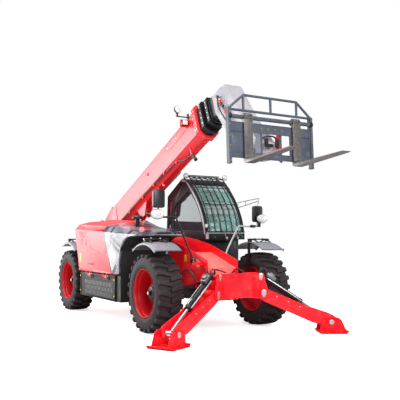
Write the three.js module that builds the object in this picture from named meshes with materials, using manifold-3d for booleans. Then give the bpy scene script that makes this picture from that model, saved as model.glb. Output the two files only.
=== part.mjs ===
// Rigid telehandler with a four-stage boom, a pallet-fork carriage and two front stabilisers.
// Millimetres. X points forward, Y to the machine's left, Z up; the ground is Z = 0.
import * as THREE from 'three';
import Module from 'manifold-3d';
import { mergeVertices } from 'three/addons/utils/BufferGeometryUtils.js';

const wasm = await Module();
wasm.setup();

// ---- Driving dimensions ----
const GAP = 0.3;                 // clearance between pieces that touch
const WHEELBASE = 3806;
const TYRE_RADIUS = 625;
const TYRE_WIDTH = 420;
const WHEEL_Y = 1015;            // middle of a tyre from the machine's middle
const RIM_RADIUS = 380;
const KINGPIN_Y = 720;
const AXLE_TUBE_RADIUS = 105;

const FRAME_HALF_WIDTH = 300;    // outer faces of the two chassis plates
const FRAME_PLATE = 30;
const FRAME_BOTTOM = 480;
const FRAME_FRONT = 400;
const REAR_OVERHANG = 754;      // rear cross plate behind the rear axle
const FRAME_REAR = -WHEELBASE - REAR_OVERHANG;

const PIVOT_X = -WHEELBASE - 444; // boom pivot
const PIVOT_Z = 1788;
const BOOM_ANGLE = 22.5;
const BOOM_LENGTH = 4470;        // base section, pivot to mouth
const BOOM_HALF_WIDTH = 170;
const BOOM_TOP = 262;
const BOOM_BOTTOM = -312;
const BOOM_WALL = 10;
const BOOM_STEP = 24;            // each inner section is this much smaller on every side

const CAB_RIGHT = 306;
const CAB_LEFT = 1140;
const CAB_FRONT = -650;
const CAB_REAR = -2200;
const CAB_FLOOR = 870;
const CAB_ROOF = 2640;
const CAB_WALL = 45;

const HOOD_INNER = -345;
const HOOD_OUTER = -1200;
const SIDE_BOX_BOTTOM = 390;
const SIDE_BOX_TOP = 840;

const CARRIAGE_HALF_WIDTH = 750;
const CARRIAGE_FACE = 200;       // carriage face, foot and top from its tilt pin
const CARRIAGE_LOW = -250;
const CARRIAGE_HIGH = 520;
const FORK_SPREAD = 430;
const FORK_LENGTH = 1060;

const STABILISER_SPLAY = 28;     // arms lean this far forward of straight out
const STABILISER_PIVOT = [950, 420, 646];
const STABILISER_FOOT = [1445, 1360, 180];
const STABILISER_CYLINDER_PIN = [925, 380, 915];

const RAD = Math.PI / 180;

// ---- Materials ----
const paint = (name, color, roughness, metalness) => {
  const material = new THREE.MeshStandardMaterial({ color, roughness, metalness });
  material.name = name;
  return material;
};
const RED = paint('red_paint', 0xe3122a, 0.35, 0.1);
const DARK = paint('black_paint', 0x1b1d20, 0.5, 0.2);
const CHARCOAL = paint('charcoal_paint', 0x3a3f4a, 0.55, 0.3);
const GREY = paint('grey_paint', 0x9a9da3, 0.5, 0.2);
const PLASTIC = paint('grey_plastic', 0x8d8f96, 0.6, 0.0);
const COWL = paint('gloss_grey_plastic', 0x6b6e76, 0.2, 0.1);
const RUBBER = paint('tyre_rubber', 0x2a2a2c, 0.9, 0.0);
const CHROME = paint('chrome', 0xd9dce0, 0.15, 1.0);
const GLASS = paint('tinted_glass', 0x6fa8a5, 0.05, 0.0);
const FABRIC = paint('seat_fabric', 0x26282b, 0.9, 0.0);
const STEEL = paint('cast_steel', 0x55585c, 0.6, 0.6);

// ---- Building blocks ----
const toSolid = (geometry) => {
  const bare = geometry.clone();
  bare.deleteAttribute('normal');
  bare.deleteAttribute('uv');
  const merged = mergeVertices(bare, 1e-4);
  const vertProperties = new Float32Array(merged.attributes.position.array);
  const triVerts = new Uint32Array(merged.index.array);
  return new wasm.Manifold(new wasm.Mesh({ numProp: 3, vertProperties, triVerts }));
};
const join = (...solids) => solids.reduce((sum, next) => sum.add(next));
const cut = (body, ...tools) => tools.reduce((rest, tool) => rest.subtract(tool), body);
const matrixOf = (x, y, z, origin) => new THREE.Matrix4()
  .makeBasis(new THREE.Vector3(...x), new THREE.Vector3(...y), new THREE.Vector3(...z))
  .setPosition(new THREE.Vector3(...origin));
const placed = (solid, matrix) => solid.transform(matrix.elements);
const mirrored = (solid) => solid.mirror([0, 1, 0]);

const box = (x0, x1, y0, y1, z0, z1) => {
  const geometry = new THREE.BoxGeometry(x1 - x0, y1 - y0, z1 - z0);
  geometry.translate((x0 + x1) / 2, (y0 + y1) / 2, (z0 + z1) / 2);
  return toSolid(geometry);
};
// A plate with a flat outline in X and Z, as thick as y1 - y0.
const plateXZ = (outline, y0, y1) => {
  const geometry = new THREE.ExtrudeGeometry(outlineShape(outline),
    { depth: y1 - y0, bevelEnabled: false, curveSegments: 12 });
  geometry.applyMatrix4(matrixOf([1, 0, 0], [0, 0, 1], [0, -1, 0], [0, y1, 0]));
  return toSolid(geometry);
};
const plateXY = (outline, z0, z1) => {
  const geometry = new THREE.ExtrudeGeometry(outlineShape(outline),
    { depth: z1 - z0, bevelEnabled: false, curveSegments: 12 });
  geometry.translate(0, 0, z0);
  return toSolid(geometry);
};
const plateYZ = (outline, x0, x1) => {
  const geometry = new THREE.ExtrudeGeometry(outlineShape(outline),
    { depth: x1 - x0, bevelEnabled: false, curveSegments: 12 });
  geometry.applyMatrix4(matrixOf([0, 1, 0], [0, 0, 1], [1, 0, 0], [x0, 0, 0]));
  return toSolid(geometry);
};
const outlineShape = (outline) => {
  if (outline instanceof THREE.Shape) return outline;
  return new THREE.Shape(outline.map(([a, b]) => new THREE.Vector2(a, b)));
};
const rod = (from, to, radius, sides = 18) => {
  const a = new THREE.Vector3(...from);
  const b = new THREE.Vector3(...to);
  const along = b.clone().sub(a);
  const geometry = new THREE.CylinderGeometry(radius, radius, along.length(), sides);
  const turn = new THREE.Quaternion().setFromUnitVectors(new THREE.Vector3(0, 1, 0), along.normalize());
  geometry.applyQuaternion(turn);
  geometry.translate((a.x + b.x) / 2, (a.y + b.y) / 2, (a.z + b.z) / 2);
  return toSolid(geometry);
};
// The hole for a pin of the given radius.
const bore = (from, to, radius) => rod(from, to, radius + 0.8, 28);
// A bent bar or pipe through a few points.
const pipe = (points, radius, steps = 24, sides = 10) => {
  const curve = new THREE.CatmullRomCurve3(points.map((p) => new THREE.Vector3(...p)), false, 'centripetal');
  const round = new THREE.Shape();
  round.absarc(0, 0, radius, 0, 2 * Math.PI, false);
  const geometry = new THREE.ExtrudeGeometry(round,
    { extrudePath: curve, steps, curveSegments: sides, bevelEnabled: false });
  return toSolid(geometry);
};
// Pushes a closed outline, listed anticlockwise, inwards by the given distance.
const inset = (outline, distance) => outline.map((point, i) => {
  const before = outline[(i + outline.length - 1) % outline.length];
  const after = outline[(i + 1) % outline.length];
  const a = new THREE.Vector2(point[0] - before[0], point[1] - before[1]).normalize();
  const b = new THREE.Vector2(after[0] - point[0], after[1] - point[1]).normalize();
  const na = new THREE.Vector2(-a.y, a.x);
  const nb = new THREE.Vector2(-b.y, b.x);
  const bisector = na.clone().add(nb).normalize();
  const reach = distance / Math.max(bisector.dot(na), 0.3);
  return [point[0] + bisector.x * reach, point[1] + bisector.y * reach];
});

const group = new THREE.Group();
group.name = 'telehandler';
const add = (name, solid, material) => {
  const source = solid.getMesh();
  const geometry = new THREE.BufferGeometry();
  geometry.setAttribute('position', new THREE.BufferAttribute(new Float32Array(source.vertProperties), 3));
  geometry.setIndex(new THREE.BufferAttribute(new Uint32Array(source.triVerts), 1));
  geometry.computeVertexNormals();
  const mesh = new THREE.Mesh(geometry, material);
  mesh.name = name;
  group.add(mesh);
};

// ---- Chassis: two long plates, cross plates, boom towers, nose and engine tray ----
const topAt = new THREE.SplineCurve([
  new THREE.Vector2(FRAME_FRONT, 1130), new THREE.Vector2(-490, 1385),
  new THREE.Vector2(-1220, 1500), new THREE.Vector2(-2000, 1560), new THREE.Vector2(-3300, 1560),
]);
const cheek = new THREE.Shape();
cheek.moveTo(FRAME_REAR, 700);
cheek.lineTo(FRAME_REAR + 220, FRAME_BOTTOM);
cheek.lineTo(FRAME_FRONT - 30, FRAME_BOTTOM);
cheek.lineTo(FRAME_FRONT, FRAME_BOTTOM + 30);
cheek.lineTo(FRAME_FRONT, 1080);
cheek.quadraticCurveTo(FRAME_FRONT, 1130, FRAME_FRONT - 50, 1148);
for (const point of topAt.getPoints(16).slice(2)) cheek.lineTo(point.x, point.y);
cheek.lineTo(PIVOT_X + 330, PIVOT_Z - 110);
cheek.lineTo(PIVOT_X + 106, PIVOT_Z + 58);
cheek.absarc(PIVOT_X, PIVOT_Z, 120, 0.5, Math.PI, false);
cheek.lineTo(FRAME_REAR, 1500);
const cheekOuter = FRAME_HALF_WIDTH;
const cheekInner = FRAME_HALF_WIDTH - FRAME_PLATE;
const PIN_RADIUS = 45;
let chassis = join(
  plateXZ(cheek, cheekInner, cheekOuter),
  plateXZ(cheek, -cheekOuter, -cheekInner),
  box(FRAME_REAR + 230, FRAME_FRONT - 60, -cheekInner - 1, cheekInner + 1, FRAME_BOTTOM, FRAME_BOTTOM + 25),
  box(FRAME_REAR, FRAME_REAR + 60, -560, 560, 720, 1180),
  box(-1300, -1270, -cheekInner - 1, cheekInner + 1, FRAME_BOTTOM, 1300),
  rod([PIVOT_X, -cheekOuter - 20, PIVOT_Z], [PIVOT_X, cheekOuter + 20, PIVOT_Z], PIN_RADIUS),
);
// Sloping nose plate between the two cheeks, and the beam that carries the stabiliser bracket.
chassis = join(chassis,
  plateXZ([[FRAME_FRONT - 60, 900], [FRAME_FRONT - 20, 900], [FRAME_FRONT - 20, 1010],
    [-380, 1245], [-800, 1245], [-800, 1215], [-390, 1215], [FRAME_FRONT - 60, 985]], -cheekInner - 1, cheekInner + 1),
  box(FRAME_FRONT - 80, 640, -230, 230, 570, 900),
);
// Tray for the engine and side box, and the cab's outriggers.
chassis = join(chassis,
  box(-2980, -1300, -1120, -cheekOuter + 1, SIDE_BOX_TOP + GAP, SIDE_BOX_TOP + 25),
  box(-2950, -2900, -750, -cheekOuter + 1, 640, SIDE_BOX_TOP + 10),
  box(-2080, -2020, cheekOuter - 1, 1050, CAB_FLOOR - 130, CAB_FLOOR - GAP),
  box(-1020, -960, cheekOuter - 1, 1050, CAB_FLOOR - 130, CAB_FLOOR - GAP),
);
// Bracket for the right mirror's stay.
chassis = join(chassis, box(222, 278, -492, -cheekOuter + 1, 1060, 1100));
const LIFT_FOOT = [PIVOT_X + 100, 850];
const LIFT_HEAD_U = 1690;        // lift cylinder's pin on the boom, along the boom
const LIFT_HEAD_W = -480;
chassis = join(chassis,
  rod([LIFT_FOOT[0], -cheekInner - 1, LIFT_FOOT[1]], [LIFT_FOOT[0], cheekInner + 1, LIFT_FOOT[1]], 36));
// Hinge pins that carry the engine hood along its inner top edge.
const HOOD_HINGE_Y = -322;
const HOOD_HINGE_Z = 1790;
const HOOD_HINGES = [-3050, -2100];
for (const x of HOOD_HINGES) {
  chassis = join(chassis, rod([x - 60, HOOD_HINGE_Y, HOOD_HINGE_Z], [x + 60, HOOD_HINGE_Y, HOOD_HINGE_Z], 8));
  for (const end of [x - 62, x + 52]) {
    chassis = join(chassis, plateYZ([[-cheekOuter + 1, 1440], [-cheekOuter + 1, 1560], [-cheekInner, 1560],
      [HOOD_HINGE_Y + 14, HOOD_HINGE_Z + 14], [HOOD_HINGE_Y - 12, HOOD_HINGE_Z + 14], [HOOD_HINGE_Y - 12, HOOD_HINGE_Z - 20]].reverse(), end, end + 10));
  }
}
// Wheel-arch room above each axle, and the seats the axles bolt up against.
for (const axleX of [0, -WHEELBASE]) {
  chassis = cut(chassis, box(axleX - 230, axleX + 230, -cheekOuter - 5, cheekOuter + 5, 400, 775));
}
add('chassis_frame', chassis, RED);

// ---- Axles, knuckles, wheels and fenders ----
const WHEEL_CENTRE_Z = TYRE_RADIUS;
for (const [name, axleX] of [['front', 0], ['rear', -WHEELBASE]]) {
  const axle = join(
    rod([axleX, -KINGPIN_Y + 75, WHEEL_CENTRE_Z], [axleX, KINGPIN_Y - 75, WHEEL_CENTRE_Z], AXLE_TUBE_RADIUS),
    rod([axleX, -150, WHEEL_CENTRE_Z], [axleX, 150, WHEEL_CENTRE_Z], 148, 24),
    box(axleX - 150, axleX + 150, -cheekOuter, -cheekInner, WHEEL_CENTRE_Z, 775 - GAP),
    box(axleX - 150, axleX + 150, cheekInner, cheekOuter, WHEEL_CENTRE_Z, 775 - GAP),
    ...[-1, 1].flatMap((side) => [-1, 1].map((up) => {
      const y = side * KINGPIN_Y;
      const z = WHEEL_CENTRE_Z + up * 150;
      return join(
        rod([axleX, y, z - 22], [axleX, y, z + 22], 62),
        box(axleX - 45, axleX + 45, Math.min(y, side * (KINGPIN_Y - 110)), Math.max(y, side * (KINGPIN_Y - 110)), z - 22, z + 22),
      );
    })),
    ...[-1, 1].map((side) => box(axleX - 45, axleX + 45, side * (KINGPIN_Y - 90) - 22,
      side * (KINGPIN_Y - 90) + 22, WHEEL_CENTRE_Z - 172, WHEEL_CENTRE_Z + 172)),
  );
  add(`axle_${name}`, axle, DARK);
}

const RIM_OUTER = WHEEL_Y + 199;
const RIM_INNER = WHEEL_Y - 199;
const WHEEL_SIDES = 28;
const TREAD_RADIUS = TYRE_RADIUS / Math.cos(Math.PI / WHEEL_SIDES);
const RIM_DISC_Y = 905;          // the disc sits deep in the rim
// Turns a closed outline of (radius, y) points about the Y axis.
const lathe = (profile, segments) => {
  const outline = profile.map(([r, y]) => new THREE.Vector2(r, y));
  if (THREE.ShapeUtils.area(outline.slice(1)) < 0) outline.reverse();
  return toSolid(new THREE.LatheGeometry(outline, segments));
};
// A closed ring section turned about the wheel's axle, which runs along Y.
const rimSolid = () => {
  const barrel = RIM_RADIUS - 22;
  const outline = [[120, RIM_DISC_Y], [210, RIM_DISC_Y + 6], [barrel - 12, RIM_DISC_Y + 40],
    [barrel - 12, RIM_OUTER - 70], [RIM_RADIUS - 8, RIM_OUTER],
    [RIM_RADIUS, RIM_OUTER], [RIM_RADIUS, RIM_OUTER - 20], [barrel + 2, RIM_OUTER - 78],
    [barrel + 2, RIM_INNER + 78], [RIM_RADIUS, RIM_INNER + 20], [RIM_RADIUS, RIM_INNER],
    [RIM_RADIUS - 8, RIM_INNER], [barrel - 12, RIM_INNER + 70],
    [barrel - 12, RIM_DISC_Y + 8], [210, RIM_DISC_Y - 16], [120, RIM_DISC_Y - 16], [120, RIM_DISC_Y]];
  return lathe(outline, WHEEL_SIDES);
};
// The tyre is a closed ring round the rim: bead seats inside, square shoulders outside.
const tyreSolid = () => {
  const y0 = WHEEL_Y - TYRE_WIDTH / 2;
  const y1 = WHEEL_Y + TYRE_WIDTH / 2;
  const bead = RIM_RADIUS - 20 + GAP + 2;
  const shoulder = TYRE_RADIUS - 45;
  const inner = [[bead, RIM_INNER + 79], [RIM_RADIUS + GAP, RIM_INNER + 20.5]];
  const outline = [...inner, [RIM_RADIUS + 30, y0 + 12], [RIM_RADIUS + 90, y0], [shoulder, y0 + 8],
    [TREAD_RADIUS, y0 + 60], [TREAD_RADIUS, y1 - 60], [shoulder, y1 - 8], [RIM_RADIUS + 90, y1],
    [RIM_RADIUS + 30, y1 - 12], [RIM_RADIUS + GAP, RIM_OUTER - 20.5], [bead, RIM_OUTER - 79],
    [bead, RIM_INNER + 79]];
  return lathe(outline, WHEEL_SIDES);
};
// Half a facet's turn puts a flat facet on the ground.
const wheelTurn = new THREE.Matrix4().makeRotationY(Math.PI / WHEEL_SIDES);
const FENDER_RADIUS = 790;
const FENDER_INNER = 760;
const FENDER_OUTER = 1225;
const stayTop = FENDER_RADIUS + 5;
const fenderStay = join(
  box(-35, 35, KINGPIN_Y + 66, KINGPIN_Y + 79, 60, stayTop),
  box(-35, 35, KINGPIN_Y + 66, FENDER_OUTER - 120, stayTop - 30, stayTop),
);
const knuckleSolid = () => {
  const hub = join(
    rod([0, KINGPIN_Y + 70, 0], [0, RIM_DISC_Y - 16 - GAP, 0], 150, 22),
    rod([0, KINGPIN_Y, 0], [0, RIM_DISC_Y + 55, 0], 118, 22),
    rod([0, KINGPIN_Y, -127.7], [0, KINGPIN_Y, 127.7], 62),
    fenderStay,
  );
  return hub;
};
// A curved guard over the tyre, carried on a bar from the knuckle.
const fenderSolid = (from, to) => {
  const guard = new THREE.Shape();
  guard.absarc(0, 0, FENDER_RADIUS + 12, from * RAD, to * RAD, false);
  guard.absarc(0, 0, FENDER_RADIUS, to * RAD, from * RAD, true);
  return cut(plateXZ(guard, FENDER_INNER, FENDER_OUTER),
    box(-35 - GAP, 35 + GAP, FENDER_INNER - 1, FENDER_OUTER - 120 + GAP, 600, stayTop + GAP));
};
const side = (solid, left) => (left ? solid : mirrored(solid));
for (const [end, axleX, from, to] of [['front', 0, 57, 122], ['rear', -WHEELBASE, 52, 118]]) {
  for (const left of [true, false]) {
    const name = `${end}_${left ? 'left' : 'right'}`;
    const move = (solid) => side(solid, left).translate([axleX, 0, WHEEL_CENTRE_Z]);
    add(`knuckle_${name}`, move(knuckleSolid()), DARK);
    add(`rim_${name}`, move(placed(rimSolid(), wheelTurn)), RED);
    add(`tyre_${name}`, move(placed(tyreSolid(), wheelTurn)), RUBBER);
    add(`fender_${name}`, move(fenderSolid(from, to)), PLASTIC);
  }
}

// ---- Cab: a hollow frame with cut windows ----
const cabOutline = (steps) => {
  const shape = new THREE.Shape();
  shape.moveTo(CAB_REAR, CAB_FLOOR);
  shape.lineTo(CAB_FRONT - 210, CAB_FLOOR);
  shape.lineTo(CAB_FRONT - 210, 1470);
  shape.lineTo(CAB_FRONT, 1470);
  shape.lineTo(CAB_FRONT, 1570);
  shape.quadraticCurveTo(CAB_FRONT - 70, 2100, -1370, 2600);
  shape.lineTo(-1560, CAB_ROOF);
  shape.lineTo(CAB_REAR + 40, 2330);
  shape.lineTo(CAB_REAR, 1640);
  return shape.getPoints(steps).map((p) => [p.x, p.y]);
};
const cabProfile = cabOutline(14);
const cabInside = inset(cabProfile, CAB_WALL);
const glassOuter = inset(cabProfile, 14);
const glassInner = inset(cabProfile, 20);
let cab = cut(plateXZ(cabProfile, CAB_RIGHT, CAB_LEFT), plateXZ(cabInside, CAB_RIGHT + CAB_WALL, CAB_LEFT - CAB_WALL));
const PILLAR = 50;
const windscreenHole = box(-1330, CAB_FRONT + 50, CAB_RIGHT + PILLAR, CAB_LEFT - PILLAR, 1610, 2700)
  .intersect(plateXZ([[-1420, 2800], [-1290, 2540], [-760, 1610], [-500, 1610], [-500, 2800]].reverse(), 0, 1300));
const sideWindow = [[-1900, 1660], [-755, 1610], [-810, 1880], [-975, 2130], [-1215, 2360], [-1300, 2385],
  [-1775, 2170], [-1900, 2060]];
const rearWindow = box(CAB_REAR - 50, CAB_REAR + 160, CAB_RIGHT + 80, CAB_LEFT - 80, 1700, 2270);
const doorOutline = [[-1890, 930], [-900, 930], [-900, 1500], [-745, 1560], [-790, 1890], [-960, 2160],
  [-1180, 2390], [-1400, 2530], [-1545, 2530], [-1880, 2370]];
const doorHole = plateXZ(doorOutline, CAB_LEFT - CAB_WALL - 5, CAB_LEFT + 5);
const quarterWindow = [[-2130, 1700], [-1950, 1690], [-1950, 2270], [-2105, 2230]];
const rightHole = join(...[sideWindow, quarterWindow].map((outline) =>
  plateXZ(outline, CAB_RIGHT - 5, CAB_RIGHT + CAB_WALL + 5)));
// A small drain hole keeps nothing sealed; seat plinth and console stand on the floor.
cab = cut(cab, windscreenHole, rearWindow, doorHole, rightHole);
cab = join(cab,
  box(-1800, -1330, 500, 900, CAB_FLOOR + CAB_WALL - 1, 1180),
  box(-1000, -960, 560, 840, CAB_FLOOR + CAB_WALL - 1, 1250),
  box(-2100, -1300, CAB_RIGHT + CAB_WALL - 1, CAB_RIGHT + 150, CAB_FLOOR + CAB_WALL - 1, 1420),
);
const HINGE_X = -1905;
const HINGE_Y = CAB_LEFT + 22;
const HINGE_HEIGHTS = [1150, 2000];
for (const z of HINGE_HEIGHTS) {
  for (const end of [z - 50, z + 41]) {
    cab = join(cab, box(HINGE_X - 60, HINGE_X + 12, CAB_LEFT - 1, HINGE_Y + 12, end, end + 9));
  }
  cab = join(cab, rod([HINGE_X, HINGE_Y, z - 45], [HINGE_X, HINGE_Y, z + 45], 8, 16));
}
add('cab_frame', cab, DARK);
const band = (outer, inner, y0, y1) => cut(plateXZ(outer, y0, y1), plateXZ(inner, y0 - 1, y1 + 1));
const glassShell = band(glassOuter, glassInner, CAB_RIGHT, CAB_LEFT);
const windscreenRoom = box(-1330 + GAP, CAB_FRONT + 50, CAB_RIGHT + PILLAR + GAP, CAB_LEFT - PILLAR - GAP, 1610 + GAP, 2700)
  .intersect(plateXZ([[-1420 + GAP, 2800], [-1290 + 0.4, 2540], [-760 + 0.4, 1610], [-500, 1610], [-500, 2800]].reverse(), 0, 1300));
add('windscreen', glassShell.intersect(windscreenRoom), GLASS);
add('window_rear', glassShell.intersect(
  box(CAB_REAR - 50, CAB_REAR + 160, CAB_RIGHT + 80 + GAP, CAB_LEFT - 80 - GAP, 1700 + GAP, 2270 - GAP)), GLASS);
add('window_right', plateXZ(inset(sideWindow, GAP), CAB_RIGHT + 14, CAB_RIGHT + 20), GLASS);
add('window_quarter', plateXZ(inset(quarterWindow, GAP), CAB_RIGHT + 14, CAB_RIGHT + 20), GLASS);
// The door is one framed panel with its pane held in the frame.
const doorFrame = inset(doorOutline, 6);
const doorWindow = [[-1835, 1060], [-955, 1060], [-955, 1540], [-800, 1590], [-845, 1880], [-1000, 2120],
  [-1205, 2335], [-1410, 2465], [-1540, 2465], [-1825, 2330]];
let door = cut(plateXZ(doorFrame, CAB_LEFT - 40, CAB_LEFT), plateXZ(doorWindow, CAB_LEFT - 60, CAB_LEFT + 20));
for (const z of HINGE_HEIGHTS) {
  door = join(door,
    cut(rod([HINGE_X, HINGE_Y, z - 40], [HINGE_X, HINGE_Y, z + 40], 16), rod([HINGE_X, HINGE_Y, z - 50], [HINGE_X, HINGE_Y, z + 50], 8.3)),
    cut(box(HINGE_X, HINGE_X + 70, CAB_LEFT + GAP, HINGE_Y + 6, z - 40, z + 40), rod([HINGE_X, HINGE_Y, z - 50], [HINGE_X, HINGE_Y, z + 50], 12)),
    box(HINGE_X + 30, HINGE_X + 70, CAB_LEFT - 1, CAB_LEFT + 2, z - 40, z + 40),
  );
}
add('cab_door', door, DARK);
add('door_glass', plateXZ(inset(doorWindow, GAP), CAB_LEFT - 26, CAB_LEFT - 20), GLASS);

// Seat and steering wheel.
let seat = join(
  box(-1790, -1350, 480, 920, 1180 + GAP, 1300),
  plateXZ([[-1800, 1290], [-1690, 1290], [-1790, 1900], [-1880, 1900]], 500, 900),
);
add('seat', seat, FABRIC);
const wheelCentre = [-1130, 700, 1470];
const wheelTilt = 32 * RAD;
const column = join(
  rod([-990, 700, 1285], wheelCentre, 26, 16),
  box(-1030, -960, 640, 760, 1250 + GAP, 1300),
  rod([wheelCentre[0], 520, wheelCentre[2]], [wheelCentre[0], 880, wheelCentre[2]], 12, 12),
  toSolid(new THREE.TorusGeometry(180, 14, 6, 24).rotateY(-wheelTilt).translate(...wheelCentre)),
);
add('steering_column', column, DARK);

// ---- Engine side: block, hood, side box, cowl and air intake ----
add('engine_block', join(
  box(-2900, -1700, -1040, -420, SIDE_BOX_TOP + 25 + GAP, 1500),
), STEEL);
const HOOD_TOP = 1820;           // inner top edge at the hood's front, before the rearward rise
const HOOD_FRONT = -1850;
const HOOD_RISE = 0.042;         // the top climbs this much for each millimetre rearward
const hoodSide = [[-3080, SIDE_BOX_TOP + 30], [-1390, SIDE_BOX_TOP + 30], [-1830, 1620], [-1885, 1895],
  [-3360, 1895], [-3370, 1630]];
const hoodEnd = (margin) => [[HOOD_OUTER + margin, SIDE_BOX_TOP - 60], [HOOD_INNER - margin, SIDE_BOX_TOP - 60],
  [HOOD_INNER - margin, HOOD_TOP - margin], [-900, HOOD_TOP - 55 - margin],
  [-1110 + 0.7 * margin, HOOD_TOP - 105 - margin], [HOOD_OUTER + margin, HOOD_TOP - 208 - margin / 2]];
const risingBody = (margin, x0, x1) => plateYZ(hoodEnd(margin), x0, x1).transform(
  new THREE.Matrix4().set(1, 0, 0, 0, 0, 1, 0, 0, -HOOD_RISE, 0, 1, HOOD_RISE * HOOD_FRONT, 0, 0, 0, 1).elements);
let hood = plateXZ(hoodSide, HOOD_OUTER - 10, HOOD_INNER + 10).intersect(risingBody(0, -3500, -1300));
const hoodRoom = plateXZ(inset(hoodSide, 14), HOOD_OUTER - 20, HOOD_INNER + 20)
  .intersect(risingBody(14, -3400, -1340));
// The cowl's wall closes the hood's front, so the hood itself is open there.
hood = cut(hood, hoodRoom, hoodRoom.translate([60, 0, 0]), box(-3060, -1440, HOOD_OUTER + 14, HOOD_INNER + 20, 800, 900),
  box(-3500, -1300, HOOD_OUTER + 14, HOOD_INNER + 20, 800, 1650),
  box(HOOD_FRONT - 60, -1300, HOOD_INNER - 60, HOOD_INNER + 20, 800, HOOD_HINGE_Z - 15));
for (const x of HOOD_HINGES) {
  const leaf = join(rod([x - 48, HOOD_HINGE_Y, HOOD_HINGE_Z], [x + 48, HOOD_HINGE_Y, HOOD_HINGE_Z], 15),
    box(x - 48, x + 48, HOOD_INNER - 12, HOOD_HINGE_Y, HOOD_HINGE_Z - 4, HOOD_HINGE_Z + 4));
  hood = join(hood, cut(leaf, bore([x - 90, HOOD_HINGE_Y, HOOD_HINGE_Z], [x + 90, HOOD_HINGE_Y, HOOD_HINGE_Z], 8)));
}
add('engine_hood', hood, RED);
add('side_box', box(-2980, -1190, HOOD_OUTER, -760, SIDE_BOX_BOTTOM, SIDE_BOX_TOP), DARK);
// The arch over the front right wheel: a glossy cowl outside and a black liner inside.
const ARCH_TOP = 1515;
const archEdge = (grow, steps = 10) => {
  const curve = new THREE.Path();
  curve.moveTo(-1010 - grow, SIDE_BOX_BOTTOM);
  curve.lineTo(-1000 - grow, 1130);
  curve.bezierCurveTo(-975 - grow, 1380, -830 - grow, ARCH_TOP + grow - 25, -560, ARCH_TOP + grow);
  curve.lineTo(-330, ARCH_TOP + 8 + grow);
  return curve.getPoints(steps).map((p) => [p.x, p.y]);
};
const liner = plateXZ([...archEdge(0), ...archEdge(8).reverse()], -1175, -cheekOuter - GAP);
add('arch_liner', join(liner, box(-1180, -1015, -1175, -1165, SIDE_BOX_BOTTOM, SIDE_BOX_TOP),
  box(-1189, -1172, -1175, -1100, SIDE_BOX_BOTTOM, SIDE_BOX_TOP)), DARK);
const cowlEdge = archEdge(8 + 2 * GAP).filter(([, z]) => z > SIDE_BOX_TOP + 60);
const edgeFoot = archEdge(8 + 2 * GAP)[0][0] + 10 * (SIDE_BOX_TOP + 30 - SIDE_BOX_BOTTOM) / (1130 - SIDE_BOX_BOTTOM);
const cowlSide = [[-1384, SIDE_BOX_TOP + 30], [edgeFoot, SIDE_BOX_TOP + 30], ...cowlEdge,
  [-330, 1590], [-1300, 1700], [-1862, 1835], [-1822, 1620]];
const cowlRoom = (margin) => risingBody(margin, -1900, -300)
  .add(box(-1900, -300, HOOD_INNER - 20, -cheekOuter - GAP, SIDE_BOX_TOP - 60, 1900));
let cowl = plateXZ(cowlSide, HOOD_OUTER, -cheekOuter - GAP).intersect(cowlRoom(0));
cowl = cut(cowl, plateXZ(inset(cowlSide, 9), HOOD_OUTER - 20, 0).intersect(cowlRoom(9)),
  box(-1900, -1200, HOOD_OUTER + 9, 0, 800, 1600));
add('cowl', cowl, COWL);
const INTAKE = [-1340, -720];
// The stem stands on the cowl's sloping top, just clear of its highest touch.
const intakeSeat = 1700 + 135 * (-INTAKE[0] + 42 - 1300) / 566 + 0.4;
add('air_intake', join(
  rod([...INTAKE, intakeSeat], [...INTAKE, 1860], 42, 16),
  lathe([[0, 1838], [96, 1838], [100, 1842], [100, 1872], [88, 1890], [50, 1903], [0, 1907], [0, 1838]], 20)
    .rotate([90, 0, 0]).translate([...INTAKE, 0]),
), DARK);

// ---- Left side: tank behind the cab and the step below its door ----
const tank = plateYZ([[cheekOuter + GAP, 540], [1060, 540], [1140, 620], [1140, 1180], [1060, 1260], [cheekOuter + GAP, 1260]],
  -2950, -2290);
add('left_tank', tank, DARK);
add('cab_step', join(
  box(-1850, -1250, 1010, 1225, 430, 450),
  box(-1830, -1270, 1060, 1200, 650, 668),
  ...[-1850, -1270].map((x) => box(x, x + 20, 1020, 1150, 430, CAB_FLOOR - GAP)),
), DARK);

// ---- Guard in front of the windscreen: bars that follow the glass, tied by cross bars ----
const GUARD_BARS = 7;
const guardRoom = box(-1545, CAB_FRONT + 200, 0, 1300, 1600, 2900);
const guardPath = cabOutline(5);
const guardBand = cut(plateXZ(inset(guardPath, -62), 0, 12), plateXZ(inset(guardPath, -44), -1, 13))
  .intersect(guardRoom);
const guardSpan = CAB_LEFT - CAB_RIGHT - 110;
const guardBars = Array.from({ length: GUARD_BARS }, (_, i) => guardBand.translate(
  [0, CAB_RIGHT + 49 + (guardSpan * i) / (GUARD_BARS - 1), 0]));
const guardCross = (x, z) => box(x - 8, x + 8, CAB_RIGHT + 30, CAB_LEFT - 30, z - 8, z + 8);
const guardFoot = (x0, x1, z0, z1) => [CAB_RIGHT + 40, CAB_LEFT - 64].map((y) => box(x0, x1, y, y + 24, z0, z1));
add('windscreen_guard', join(
  ...guardBars, guardCross(CAB_FRONT + 52, 1612), guardCross(-812, 2120), guardCross(-1120, 2445), guardCross(-1535, 2690),
  ...guardFoot(CAB_FRONT + GAP + 0.3, CAB_FRONT + 52, 1602, 1622), ...guardFoot(-1568, -1530, CAB_ROOF + GAP, 2695),
), DARK);

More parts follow.
